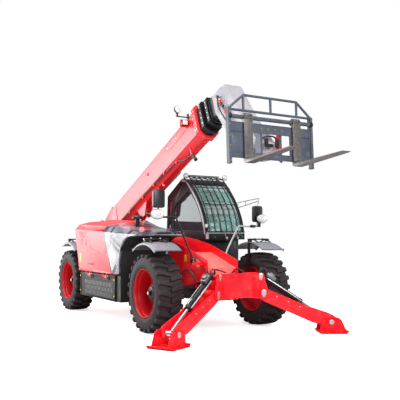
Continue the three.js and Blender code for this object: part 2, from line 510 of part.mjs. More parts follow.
// ---- Mirrors and front lamps on their stays ----
const MIRROR_RIGHT = [200, -1050, 2110];
const LAMP_RIGHT = [190, -1075, 1865];
const MIRROR_LEFT = [-200, CAB_LEFT - 25, 1925];
const LAMP_LEFT = [-120, CAB_LEFT + 10, 1838];
const lampShell = (at) => toSolid(new THREE.SphereGeometry(1, 14, 8).scale(75, 122, 84).translate(...at));
const mirrorShell = ([x, y, z]) => {
  const face = new THREE.Shape();
  face.moveTo(y - 100, z - 115);
  face.quadraticCurveTo(y - 100, z - 145, y - 60, z - 145);
  face.lineTo(y + 60, z - 145);
  face.quadraticCurveTo(y + 100, z - 145, y + 100, z - 115);
  face.lineTo(y + 100, z + 115);
  face.quadraticCurveTo(y + 100, z + 145, y + 60, z + 145);
  face.lineTo(y - 60, z + 145);
  face.quadraticCurveTo(y - 100, z + 145, y - 100, z + 115);
  const outline = face.getPoints(3).map((p) => [p.x, p.y]);
  return plateYZ(outline, x - 35, x + 30);
};
const stayRight = [250, -462, 1100];
add('mirror_right', join(
  box(226, 274, -490, -434, stayRight[2] + GAP, 1180),
  pipe([[250, -462, 1150], [232, -600, 1470], [215, -745, 1795], [205, -800, 1822], [190, -960, 1822], [190, -1060, 1822]], 15, 12, 4),
  rod([190, -1060, 1822], [200, -1055, 2000], 12, 8), lampShell(LAMP_RIGHT), mirrorShell(MIRROR_RIGHT),
), DARK);
const stayLeft = [0, 327, 1300];
add('mirror_left', join(
  box(-22, 22, cheekOuter + GAP, cheekOuter + 40, 1150, 1230),
  pipe([[0, 330, 1200], [0, 345, 1290], [-30, 590, 1680], [-50, 640, 1702],
    [-120, CAB_LEFT - 140, 1702], [-130, CAB_LEFT - 40, 1790]], 15, 12, 4),
  lampShell(LAMP_LEFT), mirrorShell(MIRROR_LEFT),
  rod([-942, CAB_LEFT + GAP, 2165], [-942, CAB_LEFT + 30, 2165], 12, 8),
  rod([-880, CAB_LEFT + GAP, 2075], [-880, CAB_LEFT + 30, 2075], 12, 8),
  rod([-942, CAB_LEFT + 22, 2165], [-260, CAB_LEFT + 10, 2205], 9, 6),
  rod([-265, CAB_LEFT + 10, 2206], [-196, CAB_LEFT + 2, 2170], 9, 6),
  rod([-200, CAB_LEFT + 2, 2178], [-202, CAB_LEFT - 22, 2050], 9, 6),
  rod([-880, CAB_LEFT + 22, 2075], [-200, CAB_LEFT + 2, 2160], 9, 6),
  rod([-640, CAB_LEFT + 17, 2184], [-640, CAB_LEFT + 17, 2104], 8, 6),
), DARK);

// ---- Boom: built level, pivot at the origin, then tilted to its parked angle ----
const boomTilt = new THREE.Matrix4().makeRotationY(-BOOM_ANGLE * RAD).setPosition(PIVOT_X, 0, PIVOT_Z);
const onBoom = (solid) => placed(solid, boomTilt);
const sectionOutline = (shrink) => {
  const w = BOOM_HALF_WIDTH - shrink;
  const top = BOOM_TOP - shrink;
  const low = BOOM_BOTTOM + shrink;
  const bevel = 0.5858 * shrink;
  const b = 97 - bevel;
  const t = 50 - bevel * 0.5;
  return [[-w, low + b], [-w + b, low], [w - b, low], [w, low + b],
    [w, top - t], [w - t, top], [-w + t, top], [-w, top - t]];
};
const boomTube = (step, u0, u1) => cut(
  plateYZ(sectionOutline(step * BOOM_STEP), u0, u1),
  plateYZ(sectionOutline(step * BOOM_STEP + BOOM_WALL), u0 - 10, u1 + 10),
);
// Wear pads fill the room between two sections, at the mouth of the outer one and the tail of the inner one.
const padRing = (step, u0, u1) => {
  const outer = sectionOutline(step * BOOM_STEP + BOOM_WALL);
  const inner = sectionOutline((step + 1) * BOOM_STEP - 0.4);
  return cut(plateYZ(outer, u0, u1), plateYZ(inner, u0 - 1, u1 + 1));
};
const collar = (step, u0, u1, out) => cut(
  plateYZ(sectionOutline(step * BOOM_STEP - out), u0, u1),
  plateYZ(sectionOutline(step * BOOM_STEP + BOOM_WALL), u0 - 10, u1 + 10),
);
const BOOM_STUB = 165;           // how far each inner section stands out when drawn in
let boomBase = join(
  boomTube(0, 260, BOOM_LENGTH),
  collar(0, BOOM_LENGTH - 90, BOOM_LENGTH, 34),
  padRing(0, BOOM_LENGTH - 80, BOOM_LENGTH - 5),
  plateXZ([[-120, -120], [60, -150], [420, BOOM_BOTTOM], [420, BOOM_TOP], [60, 190], [-90, 120]], -BOOM_HALF_WIDTH, -BOOM_HALF_WIDTH + 40),
  plateXZ([[-120, -120], [60, -150], [420, BOOM_BOTTOM], [420, BOOM_TOP], [60, 190], [-90, 120]], BOOM_HALF_WIDTH - 40, BOOM_HALF_WIDTH),
  rod([0, -cheekInner + 3, 0], [0, cheekInner - 3, 0], 92, 32),
);
boomBase = cut(boomBase, bore([0, -400, 0], [0, 400, 0], PIN_RADIUS));
for (const y of [-70, 70]) {
  boomBase = join(boomBase, plateXZ([[LIFT_HEAD_U - 230, BOOM_BOTTOM + 5], [LIFT_HEAD_U - 70, LIFT_HEAD_W - 60],
    [LIFT_HEAD_U + 70, LIFT_HEAD_W - 60], [LIFT_HEAD_U + 250, BOOM_BOTTOM + 5]], y - 12, y + 12));
}
add('boom_base', onBoom(boomBase), RED);
for (const step of [1, 2, 3]) {
  const mouth = BOOM_LENGTH + step * BOOM_STUB;
  const tail = 420 + step * 60;
  let section = boomTube(step, tail, mouth);
  if (step === 3) continue;
  if (step < 3) {
    section = join(section, collar(step, mouth - 60, mouth, 30), padRing(step, mouth - 60, mouth - 5));
  }
  add(`boom_section_${step + 1}`, onBoom(section), step < 3 ? DARK : GREY);
}
// The head turns down from the last section to the carriage pin.
const headLast = BOOM_LENGTH + 3 * BOOM_STUB;
const boomEnd = [PIVOT_X + headLast * Math.cos(BOOM_ANGLE * RAD), PIVOT_Z + headLast * Math.sin(BOOM_ANGLE * RAD)];
const fromBoomEnd = ([x, z]) => [boomEnd[0] + x, boomEnd[1] + z];
const TILT_PIN = fromBoomEnd([1223, -928]);
const headOutline = [[103, -174], [405, -490], [673, -788], [993, -1048], [1163, -1048], [1303, -988], [1318, -828],
  [1083, -588], [843, -338], [623, -48], [408, 232], [378, 244], [-4, 112]].map(fromBoomEnd);
let head = cut(
  plateXZ(headOutline, -BOOM_HALF_WIDTH + 20, BOOM_HALF_WIDTH - 20),
  plateXZ(inset(headOutline, 22), -BOOM_HALF_WIDTH + 42, BOOM_HALF_WIDTH - 42),
);
head = join(head, rod([TILT_PIN[0], -149, TILT_PIN[1]], [TILT_PIN[0], 149, TILT_PIN[1]], 75, 32));
const headMouth = onBoom(plateYZ(sectionOutline(3 * BOOM_STEP + BOOM_WALL), headLast - 300, headLast + 250));
head = cut(head, headMouth, bore([TILT_PIN[0], -300, TILT_PIN[1]], [TILT_PIN[0], 300, TILT_PIN[1]], 40),
  onBoom(box(headLast - 400, headLast - 20, -300, 300, -700, 600)));
head = join(head, onBoom(join(cut(plateYZ(sectionOutline(3 * BOOM_STEP), headLast - 25, headLast + 240),
  plateYZ(sectionOutline(3 * BOOM_STEP + BOOM_WALL), headLast - 30, headLast + 260)))));

const lastTail = 420 + 3 * 60;
add('boom_section_4', join(head, onBoom(boomTube(3, lastTail, headLast))), GREY);

// ---- Hydraulic cylinders: a barrel with an open mouth and a rod with a piston inside ----
const cylinderFrame = (foot, eye, across) => {
  const along = new THREE.Vector3().subVectors(new THREE.Vector3(...eye), new THREE.Vector3(...foot)).normalize();
  const pin = new THREE.Vector3(...across).normalize();
  const up = new THREE.Vector3().crossVectors(along, pin);
  return matrixOf(along.toArray(), pin.toArray(), up.toArray(), foot);
};
const barrelSolid = ({ mouth, radius, rodRadius, pinRadius, eyeWidth }) => cut(
  join(rod([0, 0, 0], [mouth, 0, 0], radius, 20), rod([mouth - 60, 0, 0], [mouth, 0, 0], radius + 6, 20),
    rod([0, -eyeWidth, 0], [0, eyeWidth, 0], pinRadius + 26, 20)),
  rod([radius + pinRadius + 24, 0, 0], [mouth - 30, 0, 0], radius - 12, 20),
  rod([mouth - 80, 0, 0], [mouth + 20, 0, 0], rodRadius + 0.6, 20),
  bore([0, -300, 0], [0, 300, 0], pinRadius),
);
const rodSolid = ({ reach, length, radius, rodRadius, pinRadius, eyeWidth }) => cut(
  join(rod([reach - length, 0, 0], [reach, 0, 0], rodRadius, 20),
    rod([reach - length, 0, 0], [reach - length + 30, 0, 0], radius - 12.5, 20),
    rod([reach, -eyeWidth, 0], [reach, eyeWidth, 0], pinRadius + 24, 20)),
  bore([reach, -300, 0], [reach, 300, 0], pinRadius),
);
const distance = (a, b) => new THREE.Vector3(...a).distanceTo(new THREE.Vector3(...b));
const addCylinder = (name, foot, eye, across, size) => {
  const frame = cylinderFrame(foot, eye, across);
  const reach = distance(foot, eye);
  add(`${name}_barrel`, placed(barrelSolid(size), frame), DARK);
  add(`${name}_rod`, placed(rodSolid({ ...size, reach }), frame), CHROME);
};
const liftEye = new THREE.Vector3(LIFT_HEAD_U, 0, LIFT_HEAD_W).applyMatrix4(boomTilt).toArray();
addCylinder('lift_cylinder', [LIFT_FOOT[0], 0, LIFT_FOOT[1]], liftEye, [0, 1, 0],
  { mouth: 1500, length: 1270, radius: 85, rodRadius: 45, pinRadius: 36, eyeWidth: 50 });

// ---- Fork carriage and forks, built upright about the tilt pin ----
const carriageTilt = new THREE.Matrix4().makeRotationY(-2.3 * RAD).setPosition(TILT_PIN[0], 0, TILT_PIN[1]);
const onCarriage = (solid) => placed(solid, carriageTilt);
const FACE = CARRIAGE_FACE;
const LOW = CARRIAGE_LOW;
const HIGH = CARRIAGE_HIGH;
const HALF = CARRIAGE_HALF_WIDTH;
const FORK_BAR_Z = 420;
const FORK_BAR_RADIUS = 30;
const bar = (from, to) => rod(from, to, 19, 12);
let carriage = join(
  box(FACE - 20, FACE, -HALF + 40, HALF - 40, 215, 345),
  box(FACE - 20, FACE, -HALF + 40, HALF - 40, LOW + 90, LOW + 170),
  rod([FACE + 5, -HALF + 20, FORK_BAR_Z], [FACE + 5, HALF - 20, FORK_BAR_Z], FORK_BAR_RADIUS, 20),
  bar([FACE - 10, -HALF, HIGH], [FACE - 10, HALF, HIGH]),
  bar([FACE - 10, -475, HIGH + 225], [FACE - 10, 475, HIGH + 225]),
);
for (const s of [-1, 1]) {
  carriage = join(carriage,
    box(FACE - 45, FACE + 25, Math.min(s * HALF, s * (HALF - 45)), Math.max(s * HALF, s * (HALF - 45)), LOW, HIGH + 10),
    box(FACE - 20, FACE - 6, Math.min(s * (HALF - 30), s * 500), Math.max(s * (HALF - 30), s * 500), LOW + 100, HIGH - 200),
    box(FACE - 20, FACE, Math.min(s * 330, s * 400), Math.max(s * 330, s * 400), LOW + 169, 216),
    bar([FACE - 10, s * (HALF - 10), HIGH], [FACE - 10, s * 475, HIGH + 225]),
    bar([FACE - 10, s * 475, HIGH], [FACE - 10, s * 475, HIGH + 225]),
    plateXZ([[-70, -60], [40, -80], [FACE - 15, LOW + 60], [FACE - 15, 330], [FACE - 60, 330], [30, 90], [-70, 60]],
      Math.min(s * 160, s * 190), Math.max(s * 160, s * 190)),
  );
}
carriage = join(carriage,
  bar([FACE - 10, 0, HIGH], [FACE - 10, 0, HIGH + 225]),
  rod([0, -200, 0], [0, 200, 0], 40, 18));
add('fork_carriage', onCarriage(carriage), CHARCOAL);
const FORK_HALF_WIDTH = 74;
const forkSolid = (y) => {
  const outline = [[FACE + 4, LOW + 45], [FACE + 30, LOW + 15], [FACE + 70, LOW + 13], [FACE + FORK_LENGTH, LOW + 71],
    [FACE + FORK_LENGTH, LOW + 81], [FACE + 75, LOW + 59], [FACE + 44, LOW + 95], [FACE + 44, FORK_BAR_Z + 20],
    [FACE + 20, FORK_BAR_Z + 60], [FACE + 4, FORK_BAR_Z + 50]];
  const body = join(plateXZ(outline, y - FORK_HALF_WIDTH, y + FORK_HALF_WIDTH),
    rod([FACE + 5, y - FORK_HALF_WIDTH, FORK_BAR_Z], [FACE + 5, y + FORK_HALF_WIDTH, FORK_BAR_Z], 50, 18));
  return cut(body, bore([FACE + 5, y - 100, FORK_BAR_Z], [FACE + 5, y + 100, FORK_BAR_Z], FORK_BAR_RADIUS),
    box(FACE - 60, FACE + GAP, y - 100, y + 100, LOW - 50, 350));
};
add('fork_left', onCarriage(forkSolid(FORK_SPREAD)), CHARCOAL);
add('fork_right', onCarriage(forkSolid(-FORK_SPREAD)), CHARCOAL);

// ---- Stabilisers: a bracket on the nose, and on each side an arm, a foot and a cylinder ----
const splay = STABILISER_SPLAY * RAD;
const PLATE_REACH = 140;         // half the bracket's depth where it holds an arm
const armOut = [Math.sin(splay), Math.cos(splay), 0];
const armBack = [-Math.cos(splay), Math.sin(splay), 0];
const armOrigin = [STABILISER_PIVOT[0] + armBack[0] * PLATE_REACH, STABILISER_PIVOT[1] + armBack[1] * PLATE_REACH,
  STABILISER_PIVOT[2]];
const armFrame = matrixOf(armOut, armBack, [0, 0, 1], armOrigin);
const inArm = (solid) => placed(solid, armFrame);
const alongArm = (point) => (point[0] - STABILISER_PIVOT[0]) * armOut[0] + (point[1] - STABILISER_PIVOT[1]) * armOut[1];
const footAt = [alongArm(STABILISER_FOOT), STABILISER_FOOT[2] - STABILISER_PIVOT[2]];
const cylinderAt = [alongArm(STABILISER_CYLINDER_PIN), STABILISER_CYLINDER_PIN[2] - STABILISER_PIVOT[2]];
const armLength = Math.hypot(...footAt);
const armDrop = Math.atan2(-footAt[1], footAt[0]);
const wing = [[-300, -86], [-60, -96], [0, -92], [60, -66], [86, 0], [60, 60], [25, 180], [0, 290], [-70, 300], [-300, 294]];
let halfBracket = join(
  inArm(join(
    plateXZ(wing.map(([a, z]) => [Math.max(a, -262), z]), -PLATE_REACH, -PLATE_REACH + 20),
    plateXZ(wing.map(([a, z]) => [Math.max(a, -330), z]), PLATE_REACH - 20, PLATE_REACH),
    rod([0, -PLATE_REACH + 1, 0], [0, PLATE_REACH - 1, 0], 34, 18),
    rod([cylinderAt[0], -PLATE_REACH + 1, cylinderAt[1] - 8], [cylinderAt[0], PLATE_REACH - 1, cylinderAt[1] - 8], 28, 18),
  )),
);
let bracket = join(
  halfBracket, mirrored(halfBracket),
  box(806, 828, -200, 200, 560, 940),
  box(640 + GAP, 665, -240, 240, 560, 930),
  plateXY([[650, -235], [815, -195], [815, 195], [650, 235]], 560, 582),
  plateXY([[650, -235], [815, -195], [815, 195], [650, 235]], 880, 900),
);
add('stabiliser_bracket', bracket, RED);
const ARM_HALF = 112;
const FOOT_INNER = 128;          // a foot's two lugs stand outside the arm
const FOOT_OUTER = 144;
const FOOT_PIN_RADIUS = 26;
const armShape = [[-70, 20], [-60, -60], [0, -118], [60, -128], [armLength - 246, -128], [armLength + 20, -56],
  [armLength + 55, -10], [armLength + 42, 88], [armLength - 15, 112], [armLength - 470, 70], [600, 74], [50, 64], [-30, 62]];
const armTurn = new THREE.Matrix4().makeRotationY(armDrop);
const armSolid = () => {
  const plates = join(
    plateXZ(armShape, -ARM_HALF, -ARM_HALF + 14),
    plateXZ(armShape, ARM_HALF - 14, ARM_HALF),
    plateXZ([[60, -128], [armLength - 260, -128], [armLength - 260, -112], [60, -112]], -ARM_HALF + 1, ARM_HALF - 1),
    rod([0, -ARM_HALF + 1, 0], [0, ARM_HALF - 1, 0], 62, 20),
    // The foot turns on two stub pins, which leaves the middle free for the cylinder's eye.
    rod([armLength, -FOOT_OUTER - 14, 0], [armLength, -ARM_HALF + 13, 0], FOOT_PIN_RADIUS, 18),
    rod([armLength, ARM_HALF - 13, 0], [armLength, FOOT_OUTER + 14, 0], FOOT_PIN_RADIUS, 18),
  );
  return cut(plates, bore([0, -200, 0], [0, 200, 0], 34));
};
const footSolid = () => {
  const lug = [[-190, -170], [250, -170], [160, 30], [105, 67], [-103, 62], [-150, 52]];
  const sole = join(
    plateXZ([[-175, -180], [225, -180], [262, -138], [252, -130], [219, -166], [-169, -166], [-195, -130], [-205, -138]], -212, 212),
    plateXZ(lug, -FOOT_OUTER, -FOOT_INNER), plateXZ(lug, FOOT_INNER, FOOT_OUTER),
  );
  return cut(sole, bore([0, -200, 0], [0, 200, 0], FOOT_PIN_RADIUS)).translate([footAt[0], 0, footAt[1]]);
};
for (const left of [true, false]) {
  const name = left ? 'left' : 'right';
  const out = (solid) => side(inArm(solid), left);
  add(`stabiliser_arm_${name}`, out(placed(armSolid(), armTurn)), RED);
  add(`stabiliser_foot_${name}`, out(footSolid()), RED);
  const frame = cylinderFrame([cylinderAt[0], 0, cylinderAt[1] - 8], [footAt[0], 0, footAt[1]], [0, 1, 0]);
  const reach = distance([cylinderAt[0], 0, cylinderAt[1] - 8], [footAt[0], 0, footAt[1]]);
  const size = { mouth: 790, length: 760, radius: 46, rodRadius: 24, pinRadius: 28, eyeWidth: 40 };
  add(`stabiliser_cylinder_${name}_barrel`, out(placed(barrelSolid(size), frame)), DARK);
  add(`stabiliser_cylinder_${name}_rod`, out(placed(rodSolid({ ...size, pinRadius: FOOT_PIN_RADIUS, reach }), frame)), CHROME);
}

// The origin sits on the ground under the middle of the whole machine.
const reachBox = new THREE.Box3().setFromObject(group);
const middle = (reachBox.min.x + reachBox.max.x) / 2;
for (const mesh of group.children) mesh.geometry.translate(-middle, 0, 0);

export default group;
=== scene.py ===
# A rigid telehandler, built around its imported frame. Metres, +X forward, +Y left, +Z up.
import math

import bpy
from mathutils import Matrix, Vector


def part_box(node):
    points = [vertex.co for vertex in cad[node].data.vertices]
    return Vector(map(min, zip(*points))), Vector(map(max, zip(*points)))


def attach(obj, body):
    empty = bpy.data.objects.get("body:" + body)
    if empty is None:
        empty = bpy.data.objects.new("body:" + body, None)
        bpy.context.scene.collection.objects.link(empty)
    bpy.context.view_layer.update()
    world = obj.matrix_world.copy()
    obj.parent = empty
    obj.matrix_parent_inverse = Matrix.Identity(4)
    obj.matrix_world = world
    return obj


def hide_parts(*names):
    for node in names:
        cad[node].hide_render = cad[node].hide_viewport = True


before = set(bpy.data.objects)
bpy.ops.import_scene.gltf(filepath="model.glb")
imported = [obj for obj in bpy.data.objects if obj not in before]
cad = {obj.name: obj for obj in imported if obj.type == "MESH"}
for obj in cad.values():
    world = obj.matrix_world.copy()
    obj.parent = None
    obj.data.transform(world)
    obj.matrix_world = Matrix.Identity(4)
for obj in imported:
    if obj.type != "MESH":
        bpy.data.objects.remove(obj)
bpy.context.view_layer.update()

# ---------------------------------------------------------------------------
# Stage: a pale floor, soft lamps and the camera. None of it is part of the machine.
# The floor and the surroundings look white to the camera, and the floor keeps the shadow.
# ---------------------------------------------------------------------------


def linear(hex_colour):
    """An sRGB hex colour as linear RGBA."""
    out = []
    for i in (0, 2, 4):
        c = int(hex_colour[i:i + 2], 16) / 255
        out.append(c / 12.92 if c <= 0.04045 else ((c + 0.055) / 1.055) ** 2.4)
    return (*out, 1.0)


def add_node(tree, kind, settings=None, links=None):
    """Adds a node. Settings name its properties or inputs; links name inputs and what feeds them."""
    made = tree.nodes.new(kind)
    for key, value in (settings or {}).items():
        if isinstance(key, str) and hasattr(made, key):
            setattr(made, key, value)
        else:
            made.inputs[key].default_value = value
    for key, socket in (links or {}).items():
        tree.links.new(socket, made.inputs[key])
    return made


def white_seen_by_camera(tree):
    """1 for camera and transmission rays, 0 for the rays that light the machine."""
    path = add_node(tree, "ShaderNodeLightPath")
    return add_node(tree, "ShaderNodeMath", {"operation": "MAXIMUM"},
                    {0: path.outputs["Is Camera Ray"], 1: path.outputs["Is Transmission Ray"]}).outputs[0]


world = bpy.data.worlds.new("soft_surroundings")
bpy.context.scene.world = world
world.use_nodes = True
sky = world.node_tree
sky.nodes.clear()
glow = add_node(sky, "ShaderNodeBackground", {"Color": linear("f2f4f8"), "Strength": 0.42})
plain = add_node(sky, "ShaderNodeBackground", {"Color": linear("ffffff"), "Strength": 1.0})
both = add_node(sky, "ShaderNodeMixShader", None,
                {0: white_seen_by_camera(sky), 1: glow.outputs[0], 2: plain.outputs[0]})
add_node(sky, "ShaderNodeOutputWorld", None, {0: both.outputs[0]})

floor_paint = bpy.data.materials.new("pale_studio_floor")
floor_paint.use_nodes = True
tree = floor_paint.node_tree
tree.nodes.clear()
matt = add_node(tree, "ShaderNodeBsdfDiffuse", {"Color": linear("c8c8c8")})
bright = add_node(tree, "ShaderNodeBsdfDiffuse", {"Color": linear("ffffff")})
lift = add_node(tree, "ShaderNodeEmission", {"Color": linear("ffffff"), "Strength": 0.66})
shown = add_node(tree, "ShaderNodeAddShader", None, {0: bright.outputs[0], 1: lift.outputs[0]})
both = add_node(tree, "ShaderNodeMixShader", None,
                {0: white_seen_by_camera(tree), 1: matt.outputs[0], 2: shown.outputs[0]})
add_node(tree, "ShaderNodeOutputMaterial", None, {0: both.outputs[0]})
floor_mesh = bpy.data.meshes.new("floor")
floor_mesh.from_pydata([(-60, -60, 0), (60, -60, 0), (60, 60, 0), (-60, 60, 0)], [], [(0, 1, 2, 3)])
floor_mesh.materials.append(floor_paint)
floor = bpy.data.objects.new("floor", floor_mesh)
bpy.context.scene.collection.objects.link(floor)
floor.location.z = -0.0005


def soft_lamp(name, place, target, width, height, power):
    lamp = bpy.data.lights.new(name, "AREA")
    lamp.shape = "RECTANGLE"
    lamp.size, lamp.size_y = width, height
    lamp.energy = power
    holder = bpy.data.objects.new(name, lamp)
    bpy.context.scene.collection.objects.link(holder)
    holder.location = place
    holder.rotation_euler = (Vector(target) - Vector(place)).to_track_quat("-Z", "Y").to_euler()
    return holder


MIDDLE = (0.0, 0.0, 1.4)
soft_lamp("overhead_softbox", (-1.0, -2.5, 9.0), MIDDLE, 9.0, 7.0, 950)
soft_lamp("side_softbox", (-9.0, -7.0, 3.3), (-1.0, 0.0, 1.6), 9.0, 6.5, 1250)
soft_lamp("front_softbox", (9.0, -1.5, 5.5), MIDDLE, 5.0, 4.0, 850)
soft_lamp("left_softbox", (3.0, 9.5, 4.5), MIDDLE, 6.0, 4.0, 350)

lens = bpy.data.cameras.new("camera")
lens.lens = 55.88
lens.sensor_width = 36.0
camera = bpy.data.objects.new("camera", lens)
bpy.context.scene.collection.objects.link(camera)
CAMERA_PLACE = (9.8139, -5.327, 1.463)
CAMERA_LOOK = (-0.86532, 0.49710, 0.06409)
camera.location = CAMERA_PLACE
camera.rotation_euler = Vector(CAMERA_LOOK).to_track_quat("-Z", "Y").to_euler()
bpy.context.scene.camera = camera
bpy.context.scene.view_settings.view_transform = "Standard"

# ---------------------------------------------------------------------------
# Chassis: two long welded steel cheeks with cross plates between them, a sloping nose plate,
# and lugs for the boom, the hood and the mirror stay. Blasted, primed and sprayed red.
# ---------------------------------------------------------------------------
FRONT_AXLE = sum(corner.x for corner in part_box("rim_front_left")) / 2
# Sizes below are in millimetres from the front axle, and this frame puts them in place.
MACHINE = Matrix.Translation((FRONT_AXLE, 0, 0)) @ Matrix.Scale(0.001, 4)


def edge_keeper():
    """A modifier's node group that shades faces smoothly and keeps edges over 32 degrees crisp."""
    group = bpy.data.node_groups.new("smooth_between_crisp_edges", "GeometryNodeTree")
    for direction in ("INPUT", "OUTPUT"):
        group.interface.new_socket(name="Geometry", in_out=direction, socket_type="NodeSocketGeometry")
    start = add_node(group, "NodeGroupInput")
    rounded = add_node(group, "GeometryNodeSetShadeSmooth", None, {"Geometry": start.outputs[0]})
    bend = add_node(group, "GeometryNodeInputMeshEdgeAngle")
    crisp = add_node(group, "FunctionNodeCompare", {"operation": "GREATER_THAN", 1: math.radians(32)},
                     {0: bend.outputs["Unsigned Angle"]})
    kept = add_node(group, "GeometryNodeSetShadeSmooth", {"domain": "EDGE", "Shade Smooth": False},
                    {"Geometry": rounded.outputs[0], "Selection": crisp.outputs[0]})
    add_node(group, "NodeGroupOutput", None, {0: kept.outputs[0]})
    return group


KEEP_EDGES = edge_keeper()


def soften(thing, bevel):
    """Rounds a piece's edges by bevel millimetres and shades it."""
    if bevel:
        weld = thing.modifiers.new("close_corners", "WELD")
        weld.merge_threshold = 0.00002
        rounding = thing.modifiers.new("rounded_edges", "BEVEL")
        rounding.width = bevel / 1000
        rounding.segments = 2
        rounding.limit_method = "ANGLE"
        rounding.angle_limit = math.radians(35)
        rounding.use_clamp_overlap = True
    thing.modifiers.new("crisp_edges", "NODES").node_group = KEEP_EDGES


def finish_cad(names, material, bevel=0.0):
    """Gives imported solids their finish."""
    for name in names:
        thing = cad[name]
        thing.data.materials.clear()
        thing.data.materials.append(material)
        soften(thing, bevel)


def block(x0, x1, y0, y1, z0, z1):
    """A rectangular solid as (points, faces)."""
    points = [(x, y, z) for x in (x0, x1) for y in (y0, y1) for z in (z0, z1)]
    return points, [(0, 1, 3, 2), (4, 6, 7, 5), (0, 4, 5, 1), (2, 3, 7, 6), (0, 2, 6, 4), (1, 5, 7, 3)]


def plate(outline, across, a, b):
    """A flat plate from an outline in the two axes other than across, between a and b along it."""
    put = {"x": lambda p, q, t: (t, p, q), "y": lambda p, q, t: (p, t, q), "z": lambda p, q,
           t: (p, q, t)}[across]
    count = len(outline)
    points = [put(p, q, t) for t in (a, b) for p, q in outline]
    faces = [tuple(range(count)), tuple(range(count, 2 * count))]
    faces += [(i, (i + 1) % count, count + (i + 1) % count, count + i) for i in range(count)]
    return points, faces


def tube(path, radius, sides=12, steps=6):
    """A round bar, pipe or hose through the path's points; two points make a straight one."""
    path = [Vector(p) for p in path]
    if len(path) > 2:
        ends = [2 * path[0] - path[1], *path, 2 * path[-1] - path[-2]]
        line = []
        for i in range(1, len(ends) - 2):
            a, b, c, d = ends[i - 1:i + 3]
            for k in range(steps):
                t = k / steps
                line.append(0.5 * (2 * b + (c - a) * t + (2 * a - 5 * b + 4 * c - d) * t * t
                                   + (3 * b - a - 3 * c + d) * t ** 3))
        path = line + [path[-1]]
    points, faces = [], []
    along = (path[1] - path[0]).normalized()
    aside = along.orthogonal().normalized()
    for i, centre in enumerate(path):
        ahead = (path[min(i + 1, len(path) - 1)] - path[max(i - 1, 0)]).normalized()
        aside = (aside - ahead * aside.dot(ahead)).normalized()
        other = ahead.cross(aside)
        for k in range(sides):
            turn = 2 * math.pi * k / sides
            points.append(tuple(centre + radius * (math.cos(turn) * aside + math.sin(turn) * other)))
    for i in range(len(path) - 1):
        for k in range(sides):
            j = (k + 1) % sides
            faces.append((i * sides + k, i * sides + j, (i + 1) * sides + j, (i + 1) * sides + k))
    faces += [tuple(range(sides)), tuple(range(len(points) - sides, len(points)))]
    return points, faces


def hex_bolt(at, along, size):
    """A flanged hexagon bolt head of the given thread size, standing on a face at a point."""
    at, along = Vector(at), Vector(along).normalized()
    washer = tube([at - 0.3 * size * along, at + 0.25 * size * along], 1.15 * size, 16)
    head = tube([at, at + 0.85 * size * along], 0.92 * size, 6)
    return [washer, head]


def piece(name, parts, place, material, body, bevel=0.0, instead_of=()):
    """Joins parts into one mesh in the given frame, finishes it and lets it ride on a body."""
    points, faces = [], []
    for more_points, more_faces in parts:
        base = len(points)
        points += [tuple(place @ Vector(p)) for p in more_points]
        faces += [tuple(base + i for i in face) for face in more_faces]
    mesh = bpy.data.meshes.new(name)
    mesh.from_pydata(points, [], faces)
    mesh.materials.append(material)
    thing = bpy.data.objects.new(name, mesh)
    bpy.context.scene.collection.objects.link(thing)
    bpy.context.view_layer.objects.active = thing
    thing.select_set(True)
    bpy.ops.object.mode_set(mode="EDIT")
    bpy.ops.mesh.select_all(action="SELECT")
    bpy.ops.mesh.normals_make_consistent(inside=False)
    bpy.ops.object.mode_set(mode="OBJECT")
    thing.select_set(False)
    soften(thing, bevel)
    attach(thing, body)
    if instead_of:
        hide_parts(*instead_of)
    return thing


def new_finish(name):
    """A named material with its node tree, its shader and the piece's own coordinates."""
    material = bpy.data.materials.new(name)
    material.use_nodes = True
    tree = material.node_tree
    where = add_node(tree, "ShaderNodeTexCoord").outputs["Object"]
    return material, tree, tree.nodes["Principled BSDF"], where


def enamel(name, light, dark, roughness, coat, dust="b9a99a", dust_and_highlight_amount=0.10, shine=0.3):
    """Sprayed enamel on steel: a slow drift of tone, a thin film of dust and a fine orange peel. Given a pale
    dust colour, the film is a painted highlight.
    """
    material, tree, shader, where = new_finish(name)
    drift = add_node(tree, "ShaderNodeTexNoise", {"Scale": 1.7, "Detail": 3.0}, {"Vector": where})
    tone = add_node(tree, "ShaderNodeMix", {"data_type": "RGBA", 6: linear(light), 7: linear(dark)},
                    {0: drift.outputs["Fac"]})
    film = add_node(tree, "ShaderNodeTexNoise", {"Scale": 11.0, "Detail": 8.0, "Roughness": 0.65},
                    {"Vector": where})
    # With a pale dust colour, as on the nose cover, this film is a painted highlight.
    dust_and_highlight_mask = add_node(tree, "ShaderNodeMapRange", {"From Min": 0.52, "From Max": 0.78, "To Max": dust_and_highlight_amount},
                      {"Value": film.outputs["Fac"]})
    dusty = add_node(tree, "ShaderNodeMix", {"data_type": "RGBA", 7: linear(dust)},
                     {0: dust_and_highlight_mask.outputs[0], 6: tone.outputs[2]})
    gloss = add_node(tree, "ShaderNodeMapRange", {"To Min": roughness, "To Max": roughness + 0.22},
                     {"Value": film.outputs["Fac"]})
    # Orange peel is about 4 mm from crest to crest.
    peel = add_node(tree, "ShaderNodeTexNoise", {"Scale": 240.0, "Detail": 1.0}, {"Vector": where})
    skin = add_node(tree, "ShaderNodeBump", {"Strength": 0.06, "Distance": 0.0008},
                    {"Height": peel.outputs["Fac"]})
    tree.links.new(dusty.outputs[2], shader.inputs["Base Color"])
    tree.links.new(gloss.outputs[0], shader.inputs["Roughness"])
    tree.links.new(skin.outputs[0], shader.inputs["Normal"])
    shader.inputs["Specular IOR Level"].default_value = shine
    shader.inputs["Coat Weight"].default_value = coat
    shader.inputs["Coat Roughness"].default_value = 0.08
    return material


# Two-pack red enamel: saturated, with a clear gloss.
RED_ENAMEL = enamel("red_two_pack_enamel", "fb0d20", "ee0a1c", 0.24, 0.12)
# Satin black enamel on frames, guards and cylinder barrels.
BLACK_ENAMEL = enamel("satin_black_enamel", "141518", "0c0d0f", 0.32, 0.1, "6b655c", 0.08)
finish_cad(["chassis_frame"], RED_ENAMEL, 4.0)


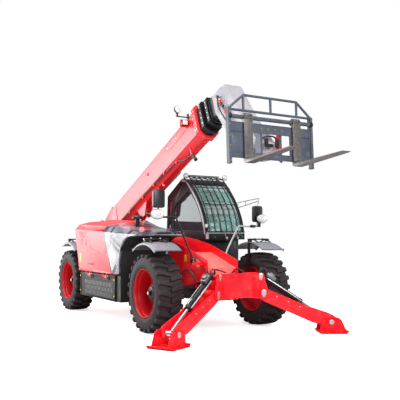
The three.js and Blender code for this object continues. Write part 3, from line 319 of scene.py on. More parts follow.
def plated(name, light, dark, roughness, grain):
    """Bare or plated metal: brushed tone streaks and a soft, slightly uneven polish."""
    material, tree, shader, where = new_finish(name)
    streak = add_node(tree, "ShaderNodeTexNoise", {"Scale": grain, "Detail": 5.0}, {"Vector": where})
    tone = add_node(tree, "ShaderNodeMix", {"data_type": "RGBA", 6: linear(dark), 7: linear(light)},
                    {0: streak.outputs["Fac"]})
    polish = add_node(tree, "ShaderNodeMapRange", {"To Min": roughness * 0.7, "To Max": roughness * 1.4},
                      {"Value": streak.outputs["Fac"]})
    tree.links.new(tone.outputs[2], shader.inputs["Base Color"])
    tree.links.new(polish.outputs[0], shader.inputs["Roughness"])
    shader.inputs["Metallic"].default_value = 1.0
    return material


# Zinc-plated steel: pale, slightly blue metal on pins, bolts and clamps.
ZINC = plated("zinc_plated_steel", "d9dde0", "a9aeb2", 0.32, 60.0)
# Brass: warm yellow metal on grease nipples and cover screws.
BRASS = plated("turned_brass", "e8c568", "b88d34", 0.28, 90.0)

bolts = []
for x in (-4100, -3300, -2500, -1700, -1000, -320, 260):
    for y, out in ((300, 1), (-300, -1)):
        bolts += hex_bolt((x, y, 520 if x > -3500 and abs(x) > 300 else 840), (0, out, 0), 14)
piece("chassis_bolts", bolts, MACHINE, ZINC, "chassis")

# ---------------------------------------------------------------------------
# Axles and knuckles: heavy cast housings with planetary hubs, bolted up under the cheeks.
# Cast iron under a coat of satin black; the hub covers carry black bolts, a plated collar and a filler plug.
# ---------------------------------------------------------------------------
CORNERS = [("front_left", 0, 1), ("front_right", 0, -1), ("rear_left", -3806, 1), ("rear_right", -3806, -1)]
AXLE_HEIGHT = 625
finish_cad(["axle_front", "axle_rear"], BLACK_ENAMEL, 6.0)
finish_cad([f"knuckle_{corner}" for corner, x, side in CORNERS], BLACK_ENAMEL, 4.0)


def corner_frame(x, side):
    """A wheel corner: X forward, Y out along the axle, Z up, from the axle's middle."""
    return (MACHINE @ Matrix.Translation((x, 0, AXLE_HEIGHT)) @ Matrix.Scale(side, 4, (0, 1, 0)))


def around(count, radius, start=0.0):
    """Evenly spaced (x, z, angle) places round the axle."""
    for k in range(count):
        turn = start + 2 * math.pi * k / count
        yield radius * math.cos(turn), radius * math.sin(turn), turn


def turned(profile, sides=64, turn=0.0):
    """A ring or disc turned about the wheel's Y axis from a closed outline of (radius, y) points."""
    count = len(profile)
    points, faces = [], []
    for k in range(sides):
        angle = turn + 2 * math.pi * k / sides
        points += [(r * math.cos(angle), y, r * math.sin(angle)) for r, y in profile]
    for k in range(sides):
        a, b = k * count, (k + 1) % sides * count
        faces += [(a + i, a + (i + 1) % count, b + (i + 1) % count, b + i) for i in range(count)]
    return points, faces


for corner, x, side in CORNERS:
    here = corner_frame(x, side)
    hub = [turned([(2, 963), (121, 963), (121, 914), (150, 914), (150, 1040), (138, 1062), (112, 1066),
                   (104, 1084),
                   (66, 1092), (60, 1100), (2, 1100)], 48)]
    piece(f"hub_cover_{corner}", hub, here, BLACK_ENAMEL, f"wheel_{corner}", 1.5)
    plugs = [bolt for px, pz, turn in around(12, 126) for bolt in hex_bolt((px, 1063, pz), (0, 1, 0), 9)]
    plugs += [turned([(2, 1098), (42, 1098), (42, 1116), (32, 1126), (2, 1126)], 32)]
    piece(f"hub_bolts_{corner}", plugs, here, BLACK_ENAMEL, f"wheel_{corner}")
    piece(f"hub_collar_{corner}", [turned([(12, 1124), (24, 1124), (24, 1133), (12, 1133)], 24)], here, ZINC,
          f"wheel_{corner}")
    piece(f"hub_plug_{corner}", hex_bolt((14, 1130, 10), (0, 1, 0), 9), here, BRASS, f"wheel_{corner}")

# ---------------------------------------------------------------------------
# Rims: deep-dish welded steel, rolled flange and lock ring outside, the disc set far in.
# Sprayed the same red as the chassis and held by ten plated nuts.
# ---------------------------------------------------------------------------
RIM_SECTION = [(119.5, 900), (119.5, 908), (200, 912), (226, 922), (300, 932), (346, 944), (350, 1120),
               (356, 1138), (364, 1142), (366, 1190), (372, 1206), (378, 1213), (382, 1210), (381, 1197),
               (371, 1184), (369, 1150), (360, 1136), (359, 900), (360, 892), (380, 836), (380, 817),
               (372, 817), (350, 884), (346, 928), (300, 916), (226, 906), (200, 893), (119.5, 889)]
# Red enamel inside the dish, made a shade deeper as painted shade, with brake dust and tyre marks in it.
SHADED_RIM_ENAMEL = enamel("red_rim_enamel_with_painted_dish_shade", "d90a1c", "a80614", 0.30, 0.1, "5a3a36", 0.25)
for corner, x, side in CORNERS:
    here = corner_frame(x, side)
    piece(f"dished_rim_{corner}", [turned(RIM_SECTION, 96)], here, SHADED_RIM_ENAMEL, f"wheel_{corner}",
          instead_of=(f"rim_{corner}",))
    nuts = [part for px, pz, turn in around(10, 178, 0.1) for part in hex_bolt((px, 911, pz), (0, 1, 0), 15)]
    piece(f"wheel_nuts_{corner}", nuts, here, ZINC, f"wheel_{corner}")
    stem = [tube([(300, 938, 40), (318, 965, 42), (322, 990, 42)], 5, 10)]
    piece(f"valve_stem_{corner}", stem, here, BRASS, f"wheel_{corner}")

# ---------------------------------------------------------------------------
# Tyres: deep-lugged earthmoving tread, twenty-four slanted lugs a side set half a step apart.
# Moulded black rubber, bloomed grey where the mould touched it and dusty between the lugs.
# ---------------------------------------------------------------------------
LUGS = 24
GROUND_RADIUS = 625


def tyre_rubber():
    """Moulded rubber: near black in the grooves, a grey bloom and road dust on the lugs."""
    material, tree, shader, where = new_finish("moulded_tyre_rubber")
    bloom = add_node(tree, "ShaderNodeTexNoise", {"Scale": 7.0, "Detail": 9.0, "Roughness": 0.7},
                     {"Vector": where})
    tone = add_node(tree, "ShaderNodeMix", {"data_type": "RGBA", 6: linear("0f0d0f"), 7: linear("3d3335")},
                    {0: bloom.outputs["Fac"]})
    grit = add_node(tree, "ShaderNodeTexNoise", {"Scale": 46.0, "Detail": 6.0}, {"Vector": where})
    dust = add_node(tree, "ShaderNodeMapRange", {"From Min": 0.55, "From Max": 0.8, "To Max": 0.22},
                    {"Value": grit.outputs["Fac"]})
    dusty = add_node(tree, "ShaderNodeMix", {"data_type": "RGBA", 7: linear("6c5f58")},
                     {0: dust.outputs[0], 6: tone.outputs[2]})
    gloss = add_node(tree, "ShaderNodeMapRange", {"To Min": 0.50, "To Max": 0.85},
                     {"Value": bloom.outputs["Fac"]})
    # The mould leaves a skin about 3 mm from bump to bump.
    skin = add_node(tree, "ShaderNodeTexNoise", {"Scale": 330.0, "Detail": 2.0}, {"Vector": where})
    bump = add_node(tree, "ShaderNodeBump", {"Strength": 0.25, "Distance": 0.0012},
                    {"Height": skin.outputs["Fac"]})
    tree.links.new(dusty.outputs[2], shader.inputs["Base Color"])
    tree.links.new(gloss.outputs[0], shader.inputs["Roughness"])
    tree.links.new(bump.outputs[0], shader.inputs["Normal"])
    shader.inputs["Specular IOR Level"].default_value = 0.2
    return material


TYRE_RUBBER = tyre_rubber()
# Half of the carcass in (radius, y from the tyre's middle); the other half mirrors it.
HALF_CARCASS = [(383, 178), (392, 192), (412, 201), (424, 201), (430, 206), (470, 209), (478, 206),
                (512, 207),
                (520, 204), (548, 199), (566, 188), (578, 168), (584, 130), (586, 60)]
CARCASS = [(r, 1015 - y) for r, y in HALF_CARCASS] + [(r, 1015 + y) for r, y in reversed(HALF_CARCASS)]
CARCASS += [(361, 1015 + 121), (361, 1015 - 121)]
# A lug seen from above, as (distance round the tyre, y): a wide shoulder and a slanted arm to the middle.
LUG_SHAPE = [(-34, -16), (26, -18), (66, 62), (92, 116), (100, 168), (102, 209), (18, 209), (14, 168),
             (2, 118), (-16, 60)]


def lug(angle, hand):
    """One tread lug at an angle round the tyre; hand is +1 for the outer side and -1 for the inner one."""
    top, base = [], []
    mid_s = sum(s for s, y in LUG_SHAPE) / len(LUG_SHAPE)
    mid_y = sum(y for s, y in LUG_SHAPE) / len(LUG_SHAPE)
    for s, y in LUG_SHAPE:
        crown = GROUND_RADIUS - 17 * (max(y, 0) / 209) ** 3
        inner_s, inner_y = mid_s + 0.86 * (s - mid_s), mid_y + 0.93 * (y - mid_y)
        top.append((crown, inner_s, inner_y))
        base.append((560 if y > 200 else 576, s, min(y, 205 if y > 200 else y)))
    count = len(LUG_SHAPE)
    points = []
    for radius, s, y in base + top:
        turn = angle + s / GROUND_RADIUS
        points.append((radius * math.cos(turn), 1015 + hand * y, radius * math.sin(turn)))
    # Each cap is four quads across the slanted arm, so that it bends with the tyre.
    cap = [(0, 1, 2, 9), (9, 2, 3, 8), (8, 3, 4, 7), (7, 4, 5, 6)]
    faces = [tuple(count + i for i in face) for face in cap] + [tuple(face) for face in cap]
    faces += [(i, (i + 1) % count, count + (i + 1) % count, count + i) for i in range(count)]
    return points, faces


for corner, x, side in CORNERS:
    tread = [turned(CARCASS, 96)]
    for k in range(LUGS):
        step = 2 * math.pi / LUGS
        tread.append(lug(k * step, 1))
        tread.append(lug((k + 0.5) * step, -1))
    piece(f"lugged_tyre_{corner}", tread, corner_frame(x, side), TYRE_RUBBER, f"wheel_{corner}", 3.5,
          instead_of=(f"tyre_{corner}",))

# ---------------------------------------------------------------------------
# Fenders: moulded grey polypropylene shells with a turned-down lip, one over each tyre.
# Two black steel straps hold each shell to the bar that comes up from the knuckle.
# ---------------------------------------------------------------------------


def moulded(name, light, dark, roughness, grain, depth=0.0006):
    """Moulded plastic: even colour with faint flow marks and a pebbled grain this many bumps a metre."""
    material, tree, shader, where = new_finish(name)
    flow = add_node(tree, "ShaderNodeTexNoise", {"Scale": 5.0, "Detail": 6.0, "Distortion": 0.6},
                    {"Vector": where})
    tone = add_node(tree, "ShaderNodeMix", {"data_type": "RGBA", 6: linear(light), 7: linear(dark)},
                    {0: flow.outputs["Fac"]})
    gloss = add_node(tree, "ShaderNodeMapRange", {"To Min": roughness * 0.8, "To Max": roughness * 1.25},
                     {"Value": flow.outputs["Fac"]})
    pebble = add_node(tree, "ShaderNodeTexVoronoi", {"Scale": grain}, {"Vector": where})
    bump = add_node(tree, "ShaderNodeBump", {"Strength": 0.18, "Distance": depth},
                    {"Height": pebble.outputs["Distance"]})
    tree.links.new(tone.outputs[2], shader.inputs["Base Color"])
    tree.links.new(gloss.outputs[0], shader.inputs["Roughness"])
    tree.links.new(bump.outputs[0], shader.inputs["Normal"])
    return material


# Polypropylene: pale grey with a soft, waxy sheen; the grain is about 5 mm.
FENDER_PLASTIC = moulded("grey_polypropylene", "8b8b93", "6a6a72", 0.36, 200.0)
FENDER_SECTION = [(791, 764), (791, 1180), (787, 1204), (777, 1218), (759, 1221), (758, 1225), (779, 1225),
                  (793, 1214), (801, 1186), (802, 1182), (802, 764)]


def swept(section, start, end, steps):
    """A section of (radius, y) points swept round the axle between two angles in degrees."""
    count = len(section)
    points = []
    for k in range(steps + 1):
        angle = math.radians(start + (end - start) * k / steps)
        points += [(r * math.cos(angle), y, r * math.sin(angle)) for r, y in section]
    faces = [tuple(range(count)), tuple(range(steps * count, (steps + 1) * count))]
    for k in range(steps):
        a, b = k * count, (k + 1) * count
        faces += [(a + i, a + (i + 1) % count, b + (i + 1) % count, b + i) for i in range(count)]
    return points, faces


for corner, x, side in CORNERS:
    here = corner_frame(x, side)
    start, end = (57, 122) if "front" in corner else (52, 118)
    shell = [swept(FENDER_SECTION, start, end, 30)]
    shell += [swept([(801, y), (806, y + 4), (806, y + 22), (801, y + 26)], start + 1, end - 1,
                    30) for y in (850, 970, 1090)]
    shell += [swept([(790, 770), (812, 770), (812, 1222), (790, 1222)], angle - 0.4, angle + 0.4,
                    2) for angle in (start + 0.4, end - 0.4)]
    piece(f"fender_shell_{corner}", shell, here, FENDER_PLASTIC,
          f"knuckle_{corner}", 1.2, instead_of=(f"fender_{corner}",))
    bar = [block(-22, 22, 776, 1205, 838, 862), block(-30, 30, 1150, 1200, 812, 838),
           block(-30, 30, 786, 836, 800, 838)]
    for y in (860, 1120):
        leg = [(15, 846), (60, 838), (150, 806), (150, 797), (60, 826), (15, 834)]
        bar += [plate(leg, "y", y, y + 34), plate([(-x, z) for x, z in leg], "y", y, y + 34)]
    piece(f"fender_bar_{corner}", bar, here, BLACK_ENAMEL, f"knuckle_{corner}", 1.5)
    screws = [part for y in (920, 1080) for part in hex_bolt((0, y, 862), (0, 0, 1), 12)]
    piece(f"fender_screws_{corner}", screws, here, ZINC, f"knuckle_{corner}")
    piece(f"fender_end_bolt_{corner}", hex_bolt((0, 1205, 850), (0, 1, 0), 11), here, BRASS,
          f"knuckle_{corner}")

# ---------------------------------------------------------------------------
# Cab: a welded frame of folded steel posts with flat panels and a steel roof, bolted down on rubber.
# Charcoal enamel outside; pale covers clip over the front posts and a pale sill runs under the screen.
# ---------------------------------------------------------------------------
CAB_ENAMEL = enamel("charcoal_cab_enamel", "1b1a1e", "111013", 0.30, 0.15, "6b655c", 0.06)
# Pale grey enamel: cool and clean, on covers, stays and trim.
GREY_ENAMEL = enamel("pale_grey_enamel", "b9b8be", "a3a2a9", 0.30, 0.25, "8b857c", 0.10)
# Black nitrile: seals and mats, matt with a fine chalky bloom.
SEAL_RUBBER = moulded("black_seal_rubber", "111113", "1b1b1d", 0.62, 420.0, 0.0004)
finish_cad(["cab_frame"], CAB_ENAMEL, 5.0)


def screen_line(inward, bottom=0.0, top=1.0, count=16):
    """Points up the curved front edge of the cab, moved in from it."""
    out = []
    for k in range(count + 1):
        t = bottom + (top - bottom) * k / count
        x = (1 - t) ** 2 * -650 + 2 * t * (1 - t) * -720 + t * t * -1370
        z = (1 - t) ** 2 * 1570 + 2 * t * (1 - t) * 2100 + t * t * 2600
        run = (1 - t) * -70 + t * -650
        rise = (1 - t) * 530 + t * 500
        size = math.hypot(run, rise)
        out.append((x - rise / size * inward, z + run / size * inward))
    return out


covers = []
for y0, y1 in ((300.5, 306), (1140, 1145.5)):
    covers.append(plate(screen_line(20) + screen_line(50)[::-1], "y", y0, y1))
covers.append(plate([(-1374, 2596), (-1436, 2556), (-1590, 2590), (-1562, 2636)], "y", 300.5, 306))
covers += [block(-652, -645, 330, 1116, 1574, 1604), block(-652, -646, 306, 366, 1478, 1574)]
piece("cab_post_covers", covers, MACHINE, GREY_ENAMEL, "chassis", 1.0)

SIDE_WINDOW = [(-1900, 1660), (-755, 1610), (-810, 1880), (-975, 2130), (-1215, 2360), (-1300, 2385),
               (-1775, 2170), (-1900, 2060)]
QUARTER_WINDOW = [(-2130, 1700), (-1950, 1690), (-1950, 2270), (-2105, 2230)]


def seal(outline, place, radius):
    """A rubber bead round a window; place puts an outline point on the window's plane."""
    corners = [Vector(place(a, b)) for a, b in outline]
    parts = []
    for i, corner in enumerate(corners):
        after = corners[(i + 1) % len(corners)]
        along = (after - corner).normalized() * radius
        parts.append(tube([corner - along, after + along], radius, 8))
    return parts


seals = seal(SIDE_WINDOW, lambda x, z: (x, 306, z), 7) + seal(QUARTER_WINDOW, lambda x, z: (x, 306, z), 7)
seals += seal([(386, 1700), (1060, 1700), (1060, 2270), (386, 2270)], lambda y,
              z: (-2196 + (z - 1700) * 0.057, y, z), 8)
for y in (358, 1088):
    screen_edge = [(x, y, z) for x, z in screen_line(4, 0.03, 0.93)]
    seals.append(tube(screen_edge, 9, 8, 1))
piece("window_seals", seals, MACHINE, SEAL_RUBBER, "chassis")

trims = []
# Roof: two pressed ribs, a raised edge and a blank panel on the right rear quarter.
for y in (520, 720, 920):
    trims.append(plate([(-1575, 2640), (-1580, 2647), (-2100, 2378), (-2096, 2370)], "y", y, y + 60))
trims.append(plate([(-1400, 2588), (-1470, 2560), (-1800, 2220), (-1880, 2180), (-2120, 2290), (-1600, 2570)],
                   "y", 303, 306))
trims += [block(-2205, -2200, 420, 1020, 1000, 1500), block(-2203, -2190, 500, 560, 1560, 1640)]
# Front apron under the screen: a shallow pressed panel with two folds.
trims += [block(-645, -640, 420, 1080, 1484, 1560), block(-862, -856, 420, 1080, 940, 1440)]
piece("cab_panels", trims, MACHINE, CAB_ENAMEL, "chassis", 3.0)

grille = [block(-2212, -2204, 480, 960, 1060 + 40 * k, 1076 + 40 * k) for k in range(10)]
piece("cab_rear_grille", grille, MACHINE, SEAL_RUBBER, "chassis", 1.0)

cab_bolts = []
for x in (-2050, -990):
    for y in (360, 1020):
        cab_bolts += hex_bolt((x, y, 866), (0, 0, -1), 16)
for y in (350, 500, 720, 940, 1096):
    cab_bolts += hex_bolt((-645, y, 1520), (1, 0, 0), 8)
for z in (1560, 1640):
    cab_bolts += hex_bolt((-2180, 306, z), (0, -1, 0), 8)
piece("cab_bolts", cab_bolts, MACHINE, ZINC, "chassis")

# ---------------------------------------------------------------------------
# Glass: toughened, tinted green, bonded into the frame behind its rubber beads.
# The curved screen, the rear pane and the door glass share one finish; wipers rest on the screen and the rear
# pane.
# ---------------------------------------------------------------------------


def tinted_glass(name, tint, film, clear):
    """Tinted glass with a faint film of road dust; clear is the share of light that it lets through."""
    material, tree, shader, where = new_finish(name)
    dust = add_node(tree, "ShaderNodeTexNoise", {"Scale": 9.0, "Detail": 8.0, "Roughness": 0.7},
                    {"Vector": where})
    tone = add_node(tree, "ShaderNodeMix", {"data_type": "RGBA", 6: linear(tint), 7: linear(film)},
                    {0: dust.outputs["Fac"]})
    haze = add_node(tree, "ShaderNodeMapRange", {"To Min": 0.0, "To Max": 0.06},
                    {"Value": dust.outputs["Fac"]})
    tree.links.new(tone.outputs[2], shader.inputs["Base Color"])
    tree.links.new(haze.outputs[0], shader.inputs["Roughness"])
    shader.inputs["Transmission Weight"].default_value = clear
    shader.inputs["IOR"].default_value = 1.45
    return material


# Green-tinted safety glass: white turns to pale mint through it.
GREEN_GLASS = tinted_glass("green_tinted_glass", "a9d6d0", "c4e4de", 0.72)
finish_cad(["windscreen", "window_rear", "door_glass"], GREEN_GLASS)
# The fixed panes beside the boom are tinted darker, a smoky blue-green.
SMOKED_GLASS = tinted_glass("smoked_side_glass", "2f434c", "3c525b", 0.5)
SMOKED_GLASS.node_tree.nodes["Principled BSDF"].inputs["Specular IOR Level"].default_value = 0.15
finish_cad(["window_right", "window_quarter"], SMOKED_GLASS)

wipers = []
for foot, elbow, low, high in (((-640, 742, 1500), (-668, 560, 1850), (-660, 640, 1640), (-742, 520, 2010)),
                               ((-640, 980, 1500), (-668, 860, 1850), (-660, 960, 1640), (-742, 830, 2010))):
    wipers += [tube([foot, elbow], 7, 8), tube([low, high], 5, 8),
               tube([foot, (foot[0] + 12, foot[1], foot[2])], 24, 16)]
wipers += [tube([(-2210, 700, 1660), (-2190, 640, 1960)], 6, 8),
           tube([(-2203, 560, 1780), (-2180, 700, 2120)], 5, 8)]
piece("wiper_arms", wipers, MACHINE, GREY_ENAMEL, "chassis", 0.5)

# ---------------------------------------------------------------------------
# Cab door: a one-piece framed door on two pinned hinges, with a paddle handle and a grab bar.
# Same enamel as the cab; the handle is black nylon and the hinge pins are plated.
# ---------------------------------------------------------------------------
finish_cad(["cab_door"], CAB_ENAMEL, 4.0)
DOOR_WINDOW = [(-1835, 1060), (-955, 1060), (-955, 1540), (-800, 1590), (-845, 1880), (-1000, 2120),
               (-1205, 2335), (-1410, 2465), (-1540, 2465), (-1825, 2330)]
piece("door_seal", seal(DOOR_WINDOW, lambda x, z: (x, 1140, z), 6), MACHINE, SEAL_RUBBER, "cab_door")
# Glass-filled nylon: even satin black on handles, levers and mirror shells.
BLACK_NYLON = moulded("black_glass_filled_nylon", "1c1d21", "111215", 0.34, 260.0, 0.0004)
handle = [block(-1040, -915, 1141, 1149, 965, 1035),
          tube([(-1030, 1150, 1000), (-990, 1172, 1000), (-925, 1172, 1000)], 9, 10)]
handle += [tube([(-1880, 1142, 1300), (-1880, 1172, 1320), (-1880, 1172, 1620), (-1880, 1142, 1640)], 10, 10)]
piece("door_handle", handle, MACHINE, BLACK_NYLON, "cab_door", 2.0)
hinge_bolts = [part for z in (1122, 1178, 1972, 2028) for part in hex_bolt((-1858, 1161, z), (0, 1, 0), 8)]
piece("door_hinge_bolts", hinge_bolts, MACHINE, ZINC, "cab_door")

# ---------------------------------------------------------------------------
# Inside the cab: a sprung seat, the steering column, a side console with a joystick, pedals and a mat.
# Moulded nylon and rubber, with foam cushions under woven cloth on the seat.
# ---------------------------------------------------------------------------


def pillow(centre, half, ribs=0, lean=0.0):
    """A soft rounded block, leaning back by an angle, with shallow pleats across it."""
    points, faces = [], []
    rows, columns = 24, 48

    def bulge(value, power=0.42):
        return math.copysign(abs(value) ** power, value)

    for i in range(rows + 1):
        up = math.pi * (i / rows - 0.5)
        for k in range(columns):
            turn = 2 * math.pi * k / columns
            x = half[0] * bulge(math.cos(up)) * bulge(math.cos(turn))
            y = half[1] * bulge(math.cos(up)) * bulge(math.sin(turn))
            z = half[2] * bulge(math.sin(up))
            pleat = 1 - (0.035 * abs(math.sin(ribs * math.pi * y / (2 * half[1]))) if ribs else 0)
            spot = Matrix.Rotation(lean, 3, "Y") @ Vector((x * pleat, y, z * pleat))
            points.append(tuple(Vector(centre) + spot))
    for i in range(rows):
        for k in range(columns):
            j = (k + 1) % columns
            faces.append((i * columns + k, i * columns + j, (i + 1) * columns + j, (i + 1) * columns + k))
    return points, faces


def seat_cloth():
    """Woven seat cloth: charcoal threads crossing every 3 mm with a paler fleck."""
    material, tree, shader, where = new_finish("woven_seat_cloth")
    weave = add_node(tree, "ShaderNodeTexWave", {"Scale": 105.0, "Distortion": 0.4}, {"Vector": where})
    fleck = add_node(tree, "ShaderNodeTexNoise", {"Scale": 300.0, "Detail": 2.0}, {"Vector": where})
    tone = add_node(tree, "ShaderNodeMix", {"data_type": "RGBA", 6: linear("222326"), 7: linear("4a4b50")},
                    {0: fleck.outputs["Fac"]})
    bump = add_node(tree, "ShaderNodeBump", {"Strength": 0.4, "Distance": 0.0008},
                    {"Height": weave.outputs["Fac"]})
    tree.links.new(tone.outputs[2], shader.inputs["Base Color"])
    tree.links.new(bump.outputs[0], shader.inputs["Normal"])
    shader.inputs["Roughness"].default_value = 0.9
    return material


SEAT_CLOTH = seat_cloth()
LEAN = math.radians(-9)
base_cushion = piece("seat_base_cushion", [pillow((-1565, 700, 1258), (215, 218, 52), 6)], MACHINE,
                     SEAT_CLOTH,
                     "chassis", instead_of=("seat",))
back_cushion = piece("seat_back_cushion", [pillow((-1792, 700, 1560), (50, 196, 265), 6, LEAN)], MACHINE,
                     SEAT_CLOTH, "chassis")
head_cushion = piece("seat_head_cushion", [pillow((-1838, 700, 1856), (36, 128, 62), 0, LEAN)], MACHINE,
                     SEAT_CLOTH, "chassis")
shell = [plate([(-1785, 1196), (-1350, 1190), (-1345, 1214), (-1785, 1222)], "y", 492, 908),
         plate([(-1800, 1222), (-1780, 1222), (-1872, 1800), (-1892, 1800)], "y", 520, 880),
         tube([(-1842, 640, 1760), (-1862, 640, 1860)], 7, 8),
         tube([(-1842, 760, 1760), (-1862, 760, 1860)], 7, 8)]
shell += [block(-1800, -1520, 894, 936, 1462, 1490), block(-1800, -1760, 896, 930, 1230, 1470)]
piece("seat_shell", shell, MACHINE, BLACK_NYLON, "chassis", 3.0)

WHEEL_HUB = Vector((-1130, 700, 1470))
WHEEL_TILT = Matrix.Rotation(math.radians(-32), 4, "Y")
steering = MACHINE @ Matrix.Translation(WHEEL_HUB) @ WHEEL_TILT
rim = []
for k in range(48):
    turn = 2 * math.pi * k / 48
    rim.append((180 * math.cos(turn), 180 * math.sin(turn), 0))
column = [tube(rim + rim[:1], 13, 10, 1), tube([(0, 0, -8), (0, 0, 16)], 42, 24),
          tube([(0, 0, -30), (0, 0, -232)], 32, 16)]
column += [tube([(0, 0, 0), (176 * math.cos(a), 176 * math.sin(a), 0)], 11, 10) for a in (0.0, 2.1, 4.2)]
column += [tube([(150, 90, 6), (150, 90, 60)], 22, 16)]
piece("steering_wheel", column, steering, BLACK_NYLON, "chassis", 1.0, instead_of=("steering_column",))
pod = [plate([(-1030, 1250), (-900, 1250), (-880, 1330), (-930, 1400), (-1010, 1330)], "y", 560, 840),
       block(-1030, -960, 640, 760, 1250, 1300)]
pod += [plate([(-2090, 1420), (-1310, 1420), (-1330, 1452), (-2070, 1452)], "y", 356, 452)]
pod += [tube([(-1480, 404, 1450), (-1478, 404, 1560)], 9, 10),
        tube([(-1478, 404, 1552), (-1474, 404, 1640)], 21, 14)]
pod += [block(-1060, -1010, y, y + 60, 960, 1010) for y in (600, 780)]
pod += [tube([(-1035, y + 30, 960), (-985, y + 30, 1060)], 8, 8) for y in (600, 780)]
pod += [block(-1700, -1690 + 20 * k, 370, 390, 1452, 1452 + 12 + 4 * k) for k in range(1, 4)]
piece("console_and_pedals", pod, MACHINE, BLACK_NYLON, "chassis", 3.0)
mat = [block(-1320, -880, 400, 1085, 915, 921)] + [block(-1310 + 44 * k, -1290 + 44 * k, 410, 1075, 921,
    925) for k in range(10)]
piece("floor_mat", mat, MACHINE, SEAL_RUBBER, "chassis", 1.0)

# ---------------------------------------------------------------------------
# Windscreen guard: seven round-edged steel straps over tie bars, bolted to the roof and the sill.
# Satin black, chipped a little on the edges; round lamps stand at its two top corners.
# ---------------------------------------------------------------------------
finish_cad(["windscreen_guard"], BLACK_ENAMEL, 3.0)
guard_bolts = []
for y in (358, 1088):
    guard_bolts += hex_bolt((-596, y, 1612), (1, 0, 0), 8) + hex_bolt((-1550, y, 2697), (0, 0, 1), 8)
piece("guard_bolts", guard_bolts, MACHINE, ZINC, "chassis")
guard_ties = [tube([(-1475, 345, 2704), (-1475, 1096, 2704)], 9, 10),
              tube([(-1330, 345, 2633), (-1330, 1096, 2633)], 9, 10)]
guard_ties += [tube([(-1500, y, 2640), (-1420, y, 2668)], 8, 8) for y in (338, 1104)]
piece("guard_ties", guard_ties, MACHINE, BLACK_ENAMEL, "chassis", 0.5)


def lens_glass():
    """A moulded lamp lens over a bright reflector: near white, with fine vertical flutes."""
    material, tree, shader, where = new_finish("fluted_lamp_lens")
    flute = add_node(tree, "ShaderNodeTexWave", {"Scale": 34.0, "Distortion": 0.0}, {"Vector": where})
    tone = add_node(tree, "ShaderNodeMix", {"data_type": "RGBA", 6: linear("eceae6"), 7: linear("b4b7bb")},
                    {0: flute.outputs["Fac"]})
    bump = add_node(tree, "ShaderNodeBump", {"Strength": 0.3, "Distance": 0.001},
                    {"Height": flute.outputs["Fac"]})
    tree.links.new(tone.outputs[2], shader.inputs["Base Color"])
    tree.links.new(bump.outputs[0], shader.inputs["Normal"])
    shader.inputs["Roughness"].default_value = 0.15
    shader.inputs["Coat Weight"].default_value = 0.8
    return material


LAMP_LENS = lens_glass()
for name, y in (("right", 285), ("left", 1158)):
    lamp = MACHINE @ Matrix.Translation((-1365, y, 2678)) @ Matrix.Rotation(math.radians(-90), 4, "Z")
    shell = [turned([(0.5, -42), (30, -42), (50, -8), (54, 2), (48, 2), (0.5, -4)], 32),
             tube([(0, -20, -20), (0, -60, -50)], 8, 8)]
    piece(f"roof_lamp_{name}", shell, lamp, BLACK_NYLON, "chassis", 0.8)
    piece(f"roof_lamp_lens_{name}", [turned([(0.5, 0), (47, 0), (47, 4), (36, 13), (0.5, 18)], 32)], lamp,
          LAMP_LENS, "chassis")

# ---------------------------------------------------------------------------
# Mirrors and front lamps: bent steel stays, nylon mirror shells and oval headlamps.
# The right stay is black and clamps to the chassis nose; the left one is pale grey and ties to the cab.
# ---------------------------------------------------------------------------


def mirror_shell(centre):
    """A rounded mirror housing and, facing back, its pane."""
    x, y, z = centre
    half_y, half_z = 100, 145
    outline = []
    for cy, cz, start in ((1, 1, 0), (-1, 1, 90), (-1, -1, 180), (1, -1, 270)):
        for k in range(5):
            turn = math.radians(start + 22.5 * k)
            outline.append((y + cy * (half_y - 40) + 40 * math.cos(turn),
                            z + cz * (half_z - 40) + 40 * math.sin(turn)))
    pane = [(y + (a - y) * 0.9, z + (b - z) * 0.93) for a, b in outline]
    return [plate(outline, "x", x - 30, x + 22), plate(pane, "x", x + 16, x + 34)], plate(pane, "x", x - 33,
        x - 29)


def oval_lamp(centre):
    """An oval headlamp: its shell, then its lens."""
    place = Matrix.Translation(centre) @ Matrix.Rotation(math.radians(-90), 4,
        "Z") @ Matrix.Diagonal((1.0, 0.62, 0.68, 1))
    shell = turned([(0.5, -112), (50, -104), (92, -70), (114, -10), (122, 20), (116, 34), (0.5, 20)], 40)
    glass = turned([(0.5, 24), (114, 24), (114, 40), (96, 74), (54, 102), (0.5, 112)], 40)
    return [([tuple(place @ Vector(p)) for p in part[0]], part[1]) for part in (shell, glass)]


# Silvered mirror glass.
MIRROR_GLASS = plated("silvered_mirror_glass", "e4e8ea", "d0d6da", 0.04, 20.0)
STAYS = {
    "right": [tube([(250, -462, 1090), (250, -462, 1150), (232, -600, 1470), (215, -745, 1795),
                    (205, -800, 1822),
                    (190, -960, 1822), (190, -1060, 1822)], 15, 12),
                    tube([(190, -1060, 1815), (200, -1055, 2000)], 12)],
    "left": [tube([(0, 330, 1160), (0, 345, 1290), (-30, 590, 1680), (-50, 640, 1702), (-120, 1000, 1702),
                   (-130, 1100, 1790)], 15, 12), tube([(-942, 1141, 2165), (-942, 1168, 2165)], 12),
             tube([(-880, 1141, 2075), (-880, 1168, 2075)], 12), tube([(-942, 1162, 2165), (-260, 1150, 2205),
             (-200, 1142, 2178), (-202, 1118, 2050)], 9, 10),
             tube([(-880, 1162, 2075), (-200, 1142, 2160)], 9, 10),
             tube([(-640, 1157, 2184), (-640, 1157, 2104)], 8, 10)],
}
MIRROR_AT = {"right": (200, -1050, 2110), "left": (-200, 1115, 1925)}
LAMP_AT = {"right": (190, -1075, 1865), "left": (-120, 1150, 1838)}
